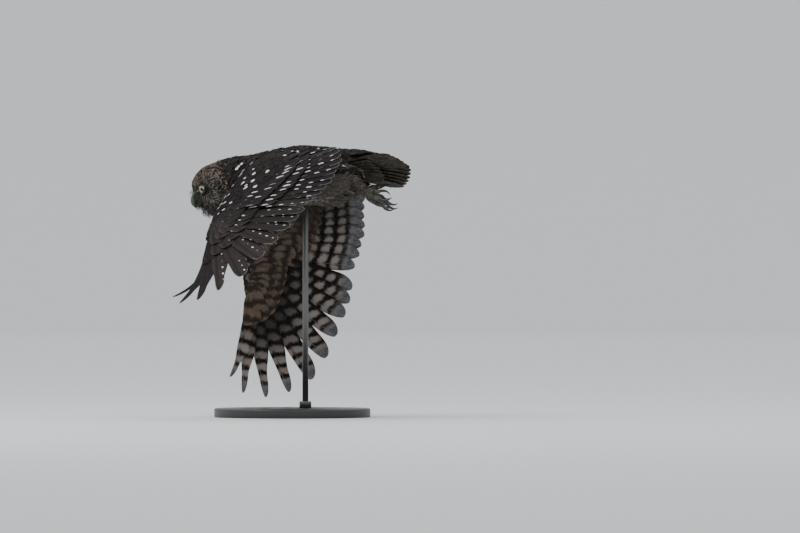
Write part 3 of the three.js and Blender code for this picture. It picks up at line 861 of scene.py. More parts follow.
def body_feathers(name, roots, lie, length, width, rise, material, marks, patch, rows=6, loose=0.0):
    """Small feathers draped over the skin: root plus t times length along the lie, q times width across it.

    Every point of the top is moved onto a height above the skin that grows from under it at the root to rise
    at the tip, so the feather bends with the body.
    """
    t, outline, lifted = small_shape(rows, loose)
    _, slope = slope_of(roots)
    normal = unit(slope)
    ahead = flat_on(lie, normal)
    side = np.cross(normal, ahead)
    q = np.array([-1, 0, 1])
    along = t[None, :, None, None] * length[:, None, None, None] * ahead[:, None, None]
    sideways = (q * outline[:, None])[None, ..., None] * width[:, None, None, None] * side[:, None, None]
    height = (mix(-0.5, 1, lifted)[None, :] * rise[:, None])[..., None]
    height = height - 0.12 * np.abs(q) * width[:, None, None]
    raw = roots[:, None, None] + along + sideways
    top = drape(raw, height)
    _, up = slope_of(top[:, :, 1])
    low = top[:, :, 1] - unit(up) * SMALL_THICK
    across, back = small_maps(outline, t, length, width)
    return add_feathers(name, small_rings(top, low), across, back, material, marks, root_patch=patch)


def wing_feathers(name, side, x, s, aim, length, width, rise, face, material, marks, patch):
    """Small feathers laid on the arm: a straight shaft from (x, s) in the direction aim of the wing's own map.

    Their height above the middle of the wing is that of the arm plus a rise along the feather, up or down.
    """
    t, outline, lifted = small_shape(6)
    q = np.array([-1, 0, 1])
    forward, aside = np.cos(aim)[:, None, None], np.sin(aim)[:, None, None]
    along = (t[None, :] * length[:, None])[..., None]
    sideways = (q * outline[:, None])[None] * width[:, None, None]
    at_x = x[:, None, None] + forward * along - aside * sideways
    at_s = s[:, None, None] + aside * along + forward * sideways
    height = (mix(-0.4, 1, lifted)[None, :] * rise[:, None])[..., None]
    height = height - 0.12 * np.abs(q) * width[:, None, None]
    base = arm_height(at_x, at_s) - ARM_COAT
    top = wing_point(side, at_x, at_s, face * (base + height))
    low = wing_point(side, at_x, at_s, face * (base + height - SMALL_THICK))[:, :, 1]
    across, back = small_maps(outline, t, length, width)
    return add_feathers(name, small_rings(top, low), across, back, material, marks, root_patch=patch)


# Wings

fine_arm = curve_through(ARM, np.linspace(0, 1, 200))


def wing_point(side, x, s, h):
    """A point of a wing: x behind the shoulder, s out along the span and h above its middle surface.

    The span turns down from the back along a hyperbola and droops, and the chord twists and arches.
    """
    span = np.hypot(s, ROOT_BEND)
    down = (span + s) / 2
    bend = (s / span + 1) / 2
    c, d = np.cos(WING_DROOP), np.sin(WING_DROOP)
    out, up = bend * d, 1 - bend + bend * c
    steep = np.hypot(out, up)
    twist = mix(INNER_TWIST, TIP_TWIST, smooth(s, 60, 200))
    arch = CAMBER * (1 - ((x - 30) / 62) ** 2) * (1 - smooth(s, 90, 190))
    rise = twist * (x - NEUTRAL_X) + arch + h
    y = side * (SHOULDER_HALF + s - down + down * c + rise * out / steep)
    return np.stack(np.broadcast_arrays(x, y, rise * up / steep - down * d), -1)


def arm_height(x, s):
    """Half the thickness of the arm at a place of the wing: half an ellipse between its edges."""
    front, back, thick = (np.interp(s, fine_arm[:, 0], fine_arm[:, i]) for i in (1, 2, 3))
    offset = (x - (front + back) / 2) / np.maximum((back - front) / 2, 0.1)
    return thick / 2 * np.sqrt(np.clip(1 - offset ** 2, 0, 1))


def arm_skin(name, side):
    """The bare arm under the coverts: ellipses between its edges, from the shoulder to the end of the hand."""
    s, front, back, thick = (curve_through(ARM, np.linspace(0, 1, 30)).T)[:, :, None]
    angle = np.linspace(0, 2 * np.pi, 24, endpoint=False)
    x = (front + back) / 2 + ((back - front) / 2 - 1) * np.cos(angle)
    h = (thick / 2 - ARM_COAT + 0.1) * np.sin(angle)
    points = wing_point(side, x, np.broadcast_to(s, x.shape), h)
    return shell(f"arm_skin_{name}", points, skin_material, {"pale": np.zeros(x.size)})


def flight_shafts(name):
    """Roots, middles and tips of the flight feathers' shafts, which the outermost few bow forward."""
    n = np.arange(FLIGHT)
    steps = [np.linspace(0, 1, k)[:, None] for k in (PRIMARIES, SECONDARIES, TERTIALS)]
    root = np.concatenate([mix(np.array([-26.0, 118]), np.array([-20.0, 88]), steps[0]),
                           mix(np.array([-17.0, 82]), np.array([20.0, 43]), steps[1]),
                           mix(np.array([22.0, 36]), np.array([20.0, 6]), steps[2])])
    middle = mix(root, TIPS, 0.6)
    middle = mix(middle, BOW[name], np.maximum(0, 1 - n / 2.5)[:, None])
    return root, middle, TIPS


def spots_seen(centres, facing):
    """Spot sizes in millimetres: the feather of the near side that is nearest to a spot of the photo has it.

    The camera is so far off that a pixel is a millimetre everywhere on the bird. Only feathers that face it
    count.
    """
    seen = place(centres) / MM - LOOK_AT
    pixel = PHOTO_CENTRE + np.stack([seen @ CAMERA_RIGHT, -(seen @ CAMERA_UP)], -1)
    spots = np.zeros(len(centres))
    for places, size in ((SMALL_SPOTS, SMALL_SPOT), (LARGE_SPOTS, LARGE_SPOT)):
        away = np.linalg.norm(pixel[None] - np.array(places, float)[:, None], axis=-1)
        away = np.where(facing, away, np.inf)
        nearest = away.argmin(1)
        spots[nearest[away.min(1) < SPOT_REACH]] = size
    return spots


def spots_for(count, share, low, high):
    """Spot sizes in millimetres: a share of the feathers have one, the others none."""
    return np.where(chance.random(count) < share, chance.uniform(low, high, count), 0.0)


def dress_wing(name, side):
    """All the feathers of one wing, in tiers above and below the flight feathers."""
    surface = lambda x, s, h: wing_point(side, x, s, h)
    shafts = flight_shafts(name)
    n = np.arange(FLIGHT)
    hand = n < PRIMARIES
    inward = np.clip(n / (PRIMARIES - 1), 0, 1)
    lead = np.where(hand, mix(3.2, 7, inward), 6.5)
    trail = np.where(hand, mix(10, 16, inward), 12.5)
    slot = np.interp(n, [0, 3, 4, 9, 10], [0.62, 0.42, 0.1, 0.1, 0])
    rust = np.interp(n, [2, 3, 6, 9], [0.0, 0.9, 0.8, 0.1])
    # painted shade: feathers by the body get less of the pale pattern below, as the wing's underside is in
    # shadow there
    painted_shade_by_body = smooth(n, 10, 17)
    # name, first feather, part of the flight feathers' length, level and boldness of the white dashes
    tiers = [
        ("flight_feathers", 0, np.ones(FLIGHT), 0, np.where(n < 3, 0.0, np.where(hand, 0.6, 0.9))),
        ("greater_coverts", 1, np.where(hand, 0.38, 0.54), 0.9 * TIER, np.where(hand, 0.6, 1.2)),
        ("median_coverts", 3, np.where(hand, 0.24, 0.38), 1.8 * TIER, np.where(hand, 0.4, 1.2)),
        ("under_greater_coverts", 1, np.where(hand, 0.30, 0.44), -0.9 * TIER, np.zeros(FLIGHT)),
        ("under_median_coverts", 3, np.where(hand, 0.20, 0.32), -1.7 * TIER, np.zeros(FLIGHT)),
    ]
    for tier, first, reach, level, bold in tiers:
        pick = n >= first
        long = tier == "flight_feathers"
        chosen = tuple(part[pick] for part in shafts)
        marks = {"tone": chance.uniform(0, 1, pick.sum()), "rust": rust[pick], "bold": bold[pick],
                 "light": 1 - (0.6 if long else 0.8) * painted_shade_by_body[pick], "plain": 1.0 if long else 0.0}
        behind = (trail if long else trail * 0.8)[pick]
        piece = long_feathers(f"{tier}_{name}", surface, chosen, lead[pick], behind, level, wing_plumage,
                              marks, reach=reach[pick], slot=slot[pick] if long else 0.0,
                              rows=30 if long else 16, columns=11 if long else 7)
        if long:
            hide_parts(f"wing_{name}")
    thumb_root = np.array([[-25.0, 88], [-25, 86], [-25, 84]])
    thumb_middle = thumb_root + np.array([-3.0, 16])
    thumb_tip = np.array([[-28.0, 121], [-25.0, 114], [-22.0, 106]])
    thumb_marks = {"tone": 0.3, "rust": 0.3, "bold": 0.7, "light": 0.3, "plain": 0.0}
    long_feathers(f"thumb_feathers_{name}", surface, (thumb_root, thumb_middle, thumb_tip), 2.2, 5.5,
                  np.array([3.2, 3.9, 4.6]), wing_plumage, thumb_marks, rows=14, columns=7)
    for face, label in ((1, "lesser_coverts"), (-1, "wing_lining")):
        dress_arm(f"{label}_{name}", side, face)


def dress_arm(name, side, face):
    """Rows of small coverts over one face of the arm, larger towards its back edge, and past the shoulder."""
    rows = []
    for k, s in enumerate(np.arange(-16, 120, 2.8)):
        front, back = (np.interp(s, fine_arm[:, 0], fine_arm[:, i]) for i in (1, 2))
        x = np.arange(front + 1.2 + (k % 2) * 1.5, back + 3, 3.0)
        rows.append(np.stack([x, np.full(len(x), s), (x - front) / (back - front)], -1))
    x, s, part = np.concatenate(rows).T
    count = len(x)
    x, s = x + chance.normal(0, 0.3, count), s + chance.normal(0, 0.5, count)
    aim = np.radians(np.interp(s, [-16, 30, 70, 100, 122], [-6, 4, 24, 50, 66]))
    aim = aim + chance.normal(0, 0.10, count)
    size = mix(0.55, 1.25, smooth(part, -0.1, 0.9)) * np.interp(s, [0, 90, 122], [1, 0.8, 0.6])
    length = 11.5 * size * chance.uniform(0.9, 1.1, count)
    width = 3.5 * size * chance.uniform(0.9, 1.1, count)
    rise = (0.9 + 1.4 * size) * chance.uniform(0.85, 1.15, count)
    front_edge = 1 - smooth(part, 0.2, 0.45)
    if face > 0:
        inset = length - SPOT_INSET
        centres = wing_point(-1, x + np.cos(aim) * inset, s + np.sin(aim) * inset, 8.0)
        marks = {"tone": chance.uniform(0, 0.7, count) + 0.3 * smooth(s, 60, 100), "pale": 0.0, "rust": 0.4,
                 "spot": np.maximum(spots_seen(centres, True), spots_for(count, 0.02, 0.9, 1.4)),
                 "line": np.zeros(count)}
    else:
        mottled = np.where(chance.random(count) < 0.45, chance.uniform(0.35, 0.7, count), 0.05)
        # painted shade: the lining's pale is held down next to the body, where the wing's underside lies in
        # shadow
        inner = 1 - smooth(s, 5, 45)
        marks = {"tone": chance.uniform(0, 0.8, count),
                 "pale": mix(chance.uniform(0.3, 0.85, count), mottled, front_edge) * (1 - 0.75 * inner),
                 "rust": mix(chance.uniform(0.6, 1.0, count), 0.4, front_edge),
                 "spot": np.zeros(count), "line": np.where(chance.random(count) < 0.6, -0.5, 0.0)}
    rise = rise + SPOT_LIFT * (marks["spot"] > 1)
    patch = np.stack([(s + 16) / 140, np.clip(part, 0, 1)], -1)
    wing_feathers(name, side, x, s, aim, length, width, rise, face, wing_small_plumage, marks, patch)


# Tail

def tail_point(x, y, h):
    """A point of the fan: it curls up at the sides, droops behind the rump and is turned a little."""
    x, y, h = np.broadcast_arrays(x, y, h)
    points = np.stack([x, y, h + 0.0015 * y * y], -1)
    return turn(turn(points, "y", TAIL_DROOP), "x", -TAIL_TWIST) + TAIL_ROOT


def fan_shafts(count, length, spread):
    """Shafts that leave the rump at even angles and curl in a little towards their tips."""
    part = np.linspace(-1, 1, count)
    angle, curl = part * spread, part * spread * 0.86
    reach = length * (1 - 0.04 * np.abs(part))
    ray = lambda radius, way: np.stack([radius * np.cos(way), radius * np.sin(way)], -1)
    root = np.stack([np.full(count, 4.0), part * 4], -1)
    return (root, ray(reach / 2, angle), ray(reach, curl)), np.abs(part)


def dress_tail():
    """Twelve tail feathers, each under its inner neighbour, and two rows of coverts above and below them."""
    rows = [
        ("tail_feathers", 12, TAIL_LENGTH, 8.5, lambda part: -6.5 * part),
        ("upper_tail_coverts", 9, 52, 6.5, lambda part: 4.6 - 4.6 * part),
        ("upper_rump_coverts", 9, 40, 6.0, lambda part: 6.6 - 5 * part),
        ("under_tail_coverts", 9, 50, 6.5, lambda part: -10 + 2 * part),
        ("under_rump_coverts", 7, 36, 6.0, lambda part: -12 + 2.5 * part),
    ]
    for name, count, length, width, level in rows:
        shafts, part = fan_shafts(count, length, TAIL_SPREAD if count > 8 else TAIL_SPREAD * 0.8)
        tone = chance.uniform(0.1, 0.9, count)
        marks = {"tone": tone, "rust": 0.0, "bold": 0.9, "light": 0.2, "plain": 0.0}
        piece = long_feathers(name, tail_point, shafts, width, width, level(part), tail_plumage, marks,
                              slope=0.0, cup=0.9)
        if name == "tail_feathers":
            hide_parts("tail")


# Coat of the body, head and legs

def staggered(count, ring):
    """Even angles round a ring, moved on by half a step on every other ring."""
    return (np.arange(count) + 0.5 * (ring % 2)) / count * 2 * np.pi


def trunk_roots(low, high, spacing):
    """Staggered places on the trunk: rings every spacing along it, with as many places as fit round each."""
    rings = []
    for k, x in enumerate(np.arange(low, high, spacing)):
        middle, wide, tall = (float(value) for value in trunk_at(x))
        count = int(2 * np.pi * np.sqrt((wide ** 2 + tall ** 2) / 2) / spacing)
        angle = staggered(count, k)
        rings.append(np.stack([np.full(count, x), wide * np.cos(angle), middle + tall * np.sin(angle),
                               angle / (2 * np.pi)], -1))
    rooted = np.concatenate(rings)
    patch = np.stack([(rooted[:, 0] - low) / (high - low), rooted[:, 3]], -1)
    return rooted[:, :3], patch


def skull_roots(spacing):
    """Staggered places on the head: rings about the line through the bill, as many places as fit on each."""
    rings = []
    radius = 25.0
    for k, polar in enumerate(np.arange(0.12, 2.75, spacing / radius)):
        count = max(int(2 * np.pi * np.sin(polar) * radius / spacing), 3)
        angle = staggered(count, k)
        direction = np.stack([np.full(count, -np.cos(polar)), np.sin(polar) * np.cos(angle),
                              np.sin(polar) * np.sin(angle)], -1)
        points = direction * skull_reach(direction)[:, None]
        rings.append(np.concatenate([points, (angle / (2 * np.pi) % 1)[:, None],
                                     np.full((count, 1), polar / np.pi)], -1))
    rooted = np.concatenate(rings)
    return rooted[:, :3], rooted[:, 3:]


def shank_roots(name, spacing):
    """Staggered places on thigh and shank: rings square to their path."""
    path, size = shank_path(name, 80)
    along = unit(np.gradient(path, axis=0))
    walked = np.concatenate([[0], np.cumsum(np.linalg.norm(np.diff(path, axis=0), axis=1))])
    rings = []
    for k, distance in enumerate(np.arange(4, walked[-1] - 1, spacing)):
        at = lambda rows: np.array([np.interp(distance, walked, rows[:, i]) for i in range(rows.shape[1])])
        centre, ahead, radius = at(path), unit(at(along)), at(size[:, None])[0]
        count = int(2 * np.pi * radius / spacing)
        angle = staggered(count, k)
        side = unit(np.cross(ahead, [0.0, 0, 1]))
        up = np.cross(side, ahead)
        ring = centre + radius * (np.cos(angle)[:, None] * side + np.sin(angle)[:, None] * up)
        patch = np.stack([np.full(count, distance / walked[-1]), angle / (2 * np.pi)], -1)
        rings.append(np.concatenate([ring, np.tile(ahead, (count, 1)), patch], -1))
    rooted = np.concatenate(rings)
    return rooted[:, :3], rooted[:, 3:6], rooted[:, 6:]


def trunk_regions(normal, x):
    """How much a part of the trunk belongs to the back, the pale belly and the soft flank in between."""
    back = smooth(normal[:, 2], -0.05, 0.35)
    belly = smooth(-normal[:, 2], 0.45, 0.85)
    flank = (1 - back) * (1 - belly) * smooth(x, 5, 40)
    return back, belly, flank


def dress_trunk():
    """Feathers of the back, flanks and belly, which lie towards the tail and are loose on the flanks."""
    points, patch = trunk_roots(-46, 112, 3.1)
    keep = outside_skin(points) > -1.5
    roots = drape(points[keep] + chance.normal(0, 0.5, (keep.sum(), 3)), 0.0)
    patch = patch[keep]
    count = len(roots)
    normal = unit(slope_of(roots)[1])
    back, belly, flank = trunk_regions(normal, roots[:, 0])
    lie = np.array([1.0, 0, -0.12]) + chance.normal(0, 1, (count, 3)) * (0.09 - 0.04 * flank)[:, None]
    grow = np.interp(roots[:, 0], [-46, -10, 30, 112], [0.6, 0.9, 1.0, 1.15])
    length = 12.5 * grow * (1 + 0.5 * flank) * chance.uniform(0.9, 1.15, count)
    width = 3.5 * grow * (1 - 0.3 * flank) * chance.uniform(0.9, 1.1, count)
    rise = (BODY_COAT + 0.3) * chance.uniform(0.75, 1.1, count)
    near = np.stack([roots[:, 0], -np.abs(roots[:, 1]), roots[:, 2]], -1)
    centres = near + lie * (length[:, None] - SPOT_INSET) + normal * np.array([1, 0, 1]) * BODY_COAT
    in_sight = (back > 0.3) & (roots[:, 0] < 60)
    spot = np.maximum(spots_seen(centres, in_sight), spots_for(count, 0.04, 0.9, 1.5)) * smooth(back, 0, 0.3)
    rise = rise + SPOT_LIFT * (spot > 1)
    streaked = chance.random(count)
    nape = 1 - smooth(roots[:, 0], -44, -22)
    # painted shade: the flank turns pale only well behind the shoulders, so below the wing it stays dark as in
    # shadow
    marks = {"tone": chance.uniform(0.0, 1.0, count) * (1 - 0.2 * flank) + 0.2 * flank,
             "pale": np.maximum(belly * chance.uniform(0.4, 0.7, count), flank * smooth(roots[:, 0], 30, 75)
                                * chance.uniform(0.2, 0.45, count)),
             "rust": 0.15 + 0.7 * nape * back, "spot": spot,
             "line": np.where((belly > 0.3) & (streaked < 0.6), -0.9, 0.0)}
    loose = flank > 0.4
    groups = [("back_feathers", ~loose & (back > 0.5), 0.0), ("belly_feathers", ~loose & (back <= 0.5), 0.2),
              ("flank_feathers", loose, 0.75)]
    for name, pick, taper in groups:
        chosen = {key: np.broadcast_to(value, (count,))[pick] for key, value in marks.items()}
        body_feathers(name, roots[pick], lie[pick], length[pick], width[pick], rise[pick],
                      brown_plumage, chosen, patch[pick], loose=taper)


def eye_axes(side):
    """An eye's line of sight, and the directions to the side of it and up, in the head's frame."""
    gaze = np.array([-np.cos(GAZE_OUT), side * np.sin(GAZE_OUT), 0])
    across = np.array([np.sin(GAZE_OUT), side * np.cos(GAZE_OUT), 0])
    return gaze, across, np.array([0.0, 0, 1])


def eye_opening():
    """The edge of the opening between the lids, to the side of and above the line of sight, in millimetres.

    It is drawn as the photo shows it from beside the head, flat on top and pointed below, to the right of and
    above the pupil, and is leaned over onto the plane square to the line of sight.
    """
    corners = np.array([[-3.7, 0.9], [-3.3, 2.2], [-1.0, 2.7], [1.4, 2.6], [1.9, 1.2], [0.9, -1.8],
                        [-1.0, -3.9], [-2.9, -1.6], [-3.7, 0.9]])
    right, above = curve_through(corners, np.linspace(0, 1, 97))[:-1].T
    return np.stack([1.2 * right + 0.6 * above, 0.85 * above - 0.55 * right], -1)


def on_right(q):
    """Places of the head's frame mirrored onto its right side."""
    return np.stack([q[..., 0], np.abs(q[..., 1]), q[..., 2]], -1)


def face_marks(q):
    """The regions of the head from places in its own frame, each from 0 to 1.

    A dark ring round each eye, a grey-olive disc, a brow over the eye, chin and throat, and crown and nape.
    """
    from_eye = on_right(q) - EYE_PLACE
    ring = 1 - smooth(np.linalg.norm(from_eye - 6.5 * eye_axes(1)[0], axis=-1), 4.2, 5.6)
    disc = (1 - smooth(np.linalg.norm(from_eye, axis=-1), 12, 17)) * (1 - ring)
    brow = smooth(q[:, 2], 7, 10) * (1 - smooth(q[:, 2], 13, 15)) * smooth(-q[:, 0], 8, 13)
    throat = smooth(-q[:, 2], 6, 12) * smooth(-q[:, 0], -6, 4)
    crown = np.clip(smooth(q[:, 2], 6, 12) + smooth(q[:, 0], -4, 3), 0, 1) * (1 - throat)
    return ring, disc, brow, throat, crown


def head_lie(q):
    """Directions away from the bill over the head, and on the face away from the nearer line of sight."""
    side = np.where(q[:, 1] < 0, -1.0, 1.0)
    gaze = np.stack([np.full(len(q), -np.cos(GAZE_OUT)), side * np.sin(GAZE_OUT), np.zeros(len(q))], -1)
    from_eye = q - EYE_PLACE * np.stack([np.ones(len(q)), side, np.ones(len(q))], -1)
    near = 1 - smooth(np.linalg.norm(from_eye, axis=-1), 9, 16)
    away = from_eye - (from_eye * gaze).sum(-1)[:, None] * gaze
    return mix(unit(q - BILL_BASE), unit(away), near[:, None])


def dress_head():
    """Short feathers over crown, nape and cheeks, finer ones round the eyes, and a ragged bib at the chin."""
    gaze, across, up = eye_axes(1)
    by_eye = lambda at: size_of(on_right(at) - EYE_PLACE - 6.0 * gaze)[:, 0] < 8.5
    (coarse, coarse_patch), (fine, fine_patch) = skull_roots(1.16), skull_roots(0.85)
    points = np.concatenate([coarse[~by_eye(coarse)], fine[by_eye(fine)]])
    patch = np.concatenate([coarse_patch[~by_eye(coarse)], fine_patch[by_eye(fine)]])
    keep = outside_skin(from_head(points)) > -1.2
    roots = drape(from_head(points[keep]), 0.0)
    q, patch = to_head(roots), patch[keep]
    from_eye = on_right(q) - EYE_PLACE
    right, above = from_eye @ across, from_eye @ up
    edge = eye_opening()
    way, edge_way = np.arctan2(above, right), np.arctan2(edge[:, 1], edge[:, 0])
    rim = np.interp(way, edge_way, size_of(edge)[:, 0], period=2 * np.pi)
    clear = ~((from_eye @ gaze > 0) & (np.hypot(right, above) < rim + 0.7))
    clear &= np.linalg.norm(q - BILL_FRONT, axis=-1) > 4.0
    roots, q, patch = roots[clear], q[clear], patch[clear]
    count = len(q)
    ring, disc, brow, throat, crown = face_marks(q)
    chin = np.exp(-(np.linalg.norm(q - CHIN, axis=-1) / 7) ** 2)
    lie = head_turned(head_lie(q)) + chance.normal(0, 1, (count, 3)) * (0.14 + 0.16 * throat)[:, None]
    roots = drape(roots + chance.normal(0, 0.25, (count, 3)), 0.0)
    size = np.interp(q[:, 0], [-20, -8, 10, 24], [0.55, 0.8, 1.0, 1.35])
    length = 5.6 * size * (1 + 0.8 * throat) * (1 - 0.35 * ring) * chance.uniform(0.85, 1.15, count)
    width = mix(1.2, 0.62, np.maximum(disc, throat)) * size * chance.uniform(0.85, 1.15, count)
    rise = (HEAD_COAT + 0.3) * np.interp(size, [0.5, 1.3], [0.6, 1.2]) * chance.uniform(0.6, 1.2, count)
    rise = rise * (1 + 0.6 * brow) + (3.0 * throat + 4.5 * chin) * chance.uniform(0.4, 1.25, count)
    lot = chance.random(count)
    chosen_half = lot < 0.5
    marks = {"tone": np.clip(chance.uniform(0.1, 0.9, count) - ring * 0.7 + disc * 0.4, 0, 1),
             "pale": (np.where(chosen_half, 0.16, 0.04) * disc + 0.12 * brow
                      + np.where(chosen_half, 0.42, 0.1) * throat),
             "rust": np.clip(0.9 * crown, 0, 1) * chance.uniform(0.75, 1.0, count) + 0.15,
             "spot": (np.where(lot > 0.95, chance.uniform(0.5, 0.8, count), 0.0) * crown
                      * smooth(q[:, 0], 0, 8)),
             "line": np.where(lot < 0.3, chance.uniform(0.1, 0.22, count), 0.0) * (0.5 * crown + disc)}
    for name, pick in (("face_feathers", q[:, 0] < -3), ("head_feathers", q[:, 0] >= -3)):
        chosen = {key: value[pick] for key, value in marks.items()}
        body_feathers(name, roots[pick], lie[pick], length[pick], width[pick], rise[pick], head_plumage,
                      chosen, patch[pick], rows=5, loose=0.35)


def dress_legs():
    """Short pale down over thighs and shanks, lying down the leg."""
    for name in SIDES:
        points, lie, patch = shank_roots(name, 2.5)
        keep = outside_skin(points) > -1.5
        roots = drape(points[keep] + chance.normal(0, 0.3, (keep.sum(), 3)), 0.0)
        count = len(roots)
        thin = np.interp(patch[keep][:, 0], [0, 0.5, 0.7, 1], [1.5, 1.3, 0.8, 0.5])
        marks = {"tone": chance.uniform(0.3, 1, count), "pale": chance.uniform(0.2, 0.42, count),
                 "rust": 0.55, "spot": 0.0, "line": 0.0}
        loose_lie = lie[keep] + chance.normal(0, 0.1, (count, 3))
        body_feathers(f"leg_feathers_{name}", roots, loose_lie, 8.0 * thin, 2.1 * thin, LEG_COAT * thin * 1.3,
                      brown_plumage, marks, patch[keep], rows=5, loose=0.6)


# Skin: trunk, head and legs in one

def body_skin():
    """One closed skin: overlapping rough shells are remeshed together and drawn onto the skin's own level."""
    angle = np.linspace(0, 2 * np.pi, 40, endpoint=False)
    x = np.linspace(TRUNK[0, 0], TRUNK[-1, 0], 60)
    middle, wide, tall = (value[:, None] for value in trunk_at(x))
    trunk = np.stack(np.broadcast_arrays(x[:, None], wide * np.cos(angle), middle + tall * np.sin(angle)), -1)
    polar = np.linspace(0.02, np.pi - 0.02, 40)[:, None]
    direction = np.stack(np.broadcast_arrays(-np.cos(polar), np.sin(polar) * np.cos(angle),
                                             np.sin(polar) * np.sin(angle)), -1)
    skull = from_head(direction * skull_reach(direction)[..., None])
    rough = [shell("rough_trunk", trunk, skin_material), shell("rough_skull", skull, skin_material)]
    rough += [shell("rough_leg", tube(*shank_path(name, 30), sides=24), skin_material) for name in SIDES]
    bpy.ops.object.select_all(action="DESELECT")
    for piece in rough:
        piece.select_set(True)
    bpy.context.view_layer.objects.active = rough[0]
    bpy.ops.object.join()
    joined = rough[0]
    remesh = joined.modifiers.new("one skin", "REMESH")
    remesh.mode, remesh.voxel_size = "VOXEL", 1.3 * MM
    bpy.ops.object.modifier_apply(modifier=remesh.name)
    joined.name = joined.data.name = "skin"
    mesh = joined.data
    flat = np.empty(len(mesh.vertices) * 3, np.float32)
    mesh.vertices.foreach_get("co", flat)
    moved = flat.reshape(-1, 3) / MM - SHOULDERS
    moved = drape(turn(moved, "x", BANK), 0.0, 4, outside_skin)
    mesh.vertices.foreach_set("co", place(moved).astype(np.float32).ravel())
    mesh.polygons.foreach_set("use_smooth", np.full(len(mesh.polygons), True))
    mesh.update()
    normal = unit(slope_of(moved, outside_skin)[1])
    on_head = outside_skull(moved) < outside_trunk(moved)
    _, disc, _, throat, _ = face_marks(to_head(moved))
    belly = trunk_regions(normal, moved[:, 0])[1]
    add_mark(joined, "pale", np.where(on_head, 0.2 * throat + 0.1 * disc, belly * 0.7))
    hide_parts("torso", "neck", "head", "leg_left", "leg_right")


# Face

def eye(name, side):
    """An eyeball about the line of sight, with a slight bulge of clear horn over the iris."""
    gaze, across, up = eye_axes(side)
    polar = np.linspace(0.01, np.pi - 0.01, 48)[:, None]
    angle = np.linspace(0, 2 * np.pi, 40, endpoint=False)
    radius = EYE_RADIUS + 0.5 * np.exp(-(polar / 0.42) ** 2)
    ring = across * np.cos(angle)[None, :, None] + up * np.sin(angle)[None, :, None]
    points = gaze * np.cos(polar)[..., None] + ring * np.sin(polar)[..., None]
    centre = EYE_PLACE * np.array([1, side, 1])
    piece = shell(f"eyeball_{name}", from_head(centre + points * radius[..., None]), eye_material)
    out = np.broadcast_to(EYE_RADIUS * polar, (48, 40)).ravel()
    turned = np.broadcast_to(np.abs(np.sin(angle / 2)), (48, 40)).ravel()
    corners = np.empty(len(piece.data.loops), np.int32)
    piece.data.loops.foreach_get("vertex_index", corners)
    add_map(piece, "eye", np.stack([turned, out], -1)[corners])
    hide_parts(f"eye_{name}")


def eyelids(name, side):
    """The lids of an eye: a thin band over the ball from the edge of the opening outwards, thickest there."""
    gaze, across, up = eye_axes(side)
    edge = eye_opening()
    outer = unit(edge) * np.maximum(size_of(edge) + 2.0, 6.3)
    w = np.array([0, 0.06, 0.2, 0.35, 0.55, 0.8, 1, 1, 0.6, 0.3, 0.08])
    lift = np.array([0.05, 0.45, 0.55, 0.45, 0.3, 0.2, 0.05, -0.5, -0.3, -0.2, -0.1])
    flat = mix(edge[:, None], outer[:, None], w[:, None])
    ball = EYE_RADIUS + lift + 0.5 * np.exp(-(size_of(flat)[..., 0] / EYE_RADIUS / 0.42) ** 2)
    ahead = np.sqrt(np.maximum(ball ** 2 - (flat ** 2).sum(-1), 0.1))
    centre = EYE_PLACE * np.array([1, side, 1])
    points = centre + gaze * ahead[..., None] + across * flat[..., :1] + up * flat[..., 1:]
    closed_ring(f"eyelids_{name}", from_head(points), lid_material)


def bill():
    """Upper and lower halves of the bill, tubes along hooked curves that end in points."""
    upper = [[-15, 0, 2.5], [-21, 0, 1], [-26, 0, -3.5], [-26.5, 0, -10.5]]
    lower = [[-13, 0, -6], [-18, 0, -6.8], [-22, 0, -7.8], [-25, 0, -9.4]]
    for name, points, radii in (("upper", upper, [5.5, 4.8, 3.2, 0.3]), ("lower", lower, [4.4, 4, 3, 0.6])):
        path, size = even_path(np.array(points, float), radii, 40)
        rings = tube(path, size, 28, upwards=(0.0, 1.0, 0.0))
        rings[..., 1] *= 0.86
        out = np.repeat(np.linspace(0, 1, 40), 28)
        piece = shell(f"bill_{name}_horn", from_head(rings), bill_material, {"out": out})
        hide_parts(f"bill_{name}")


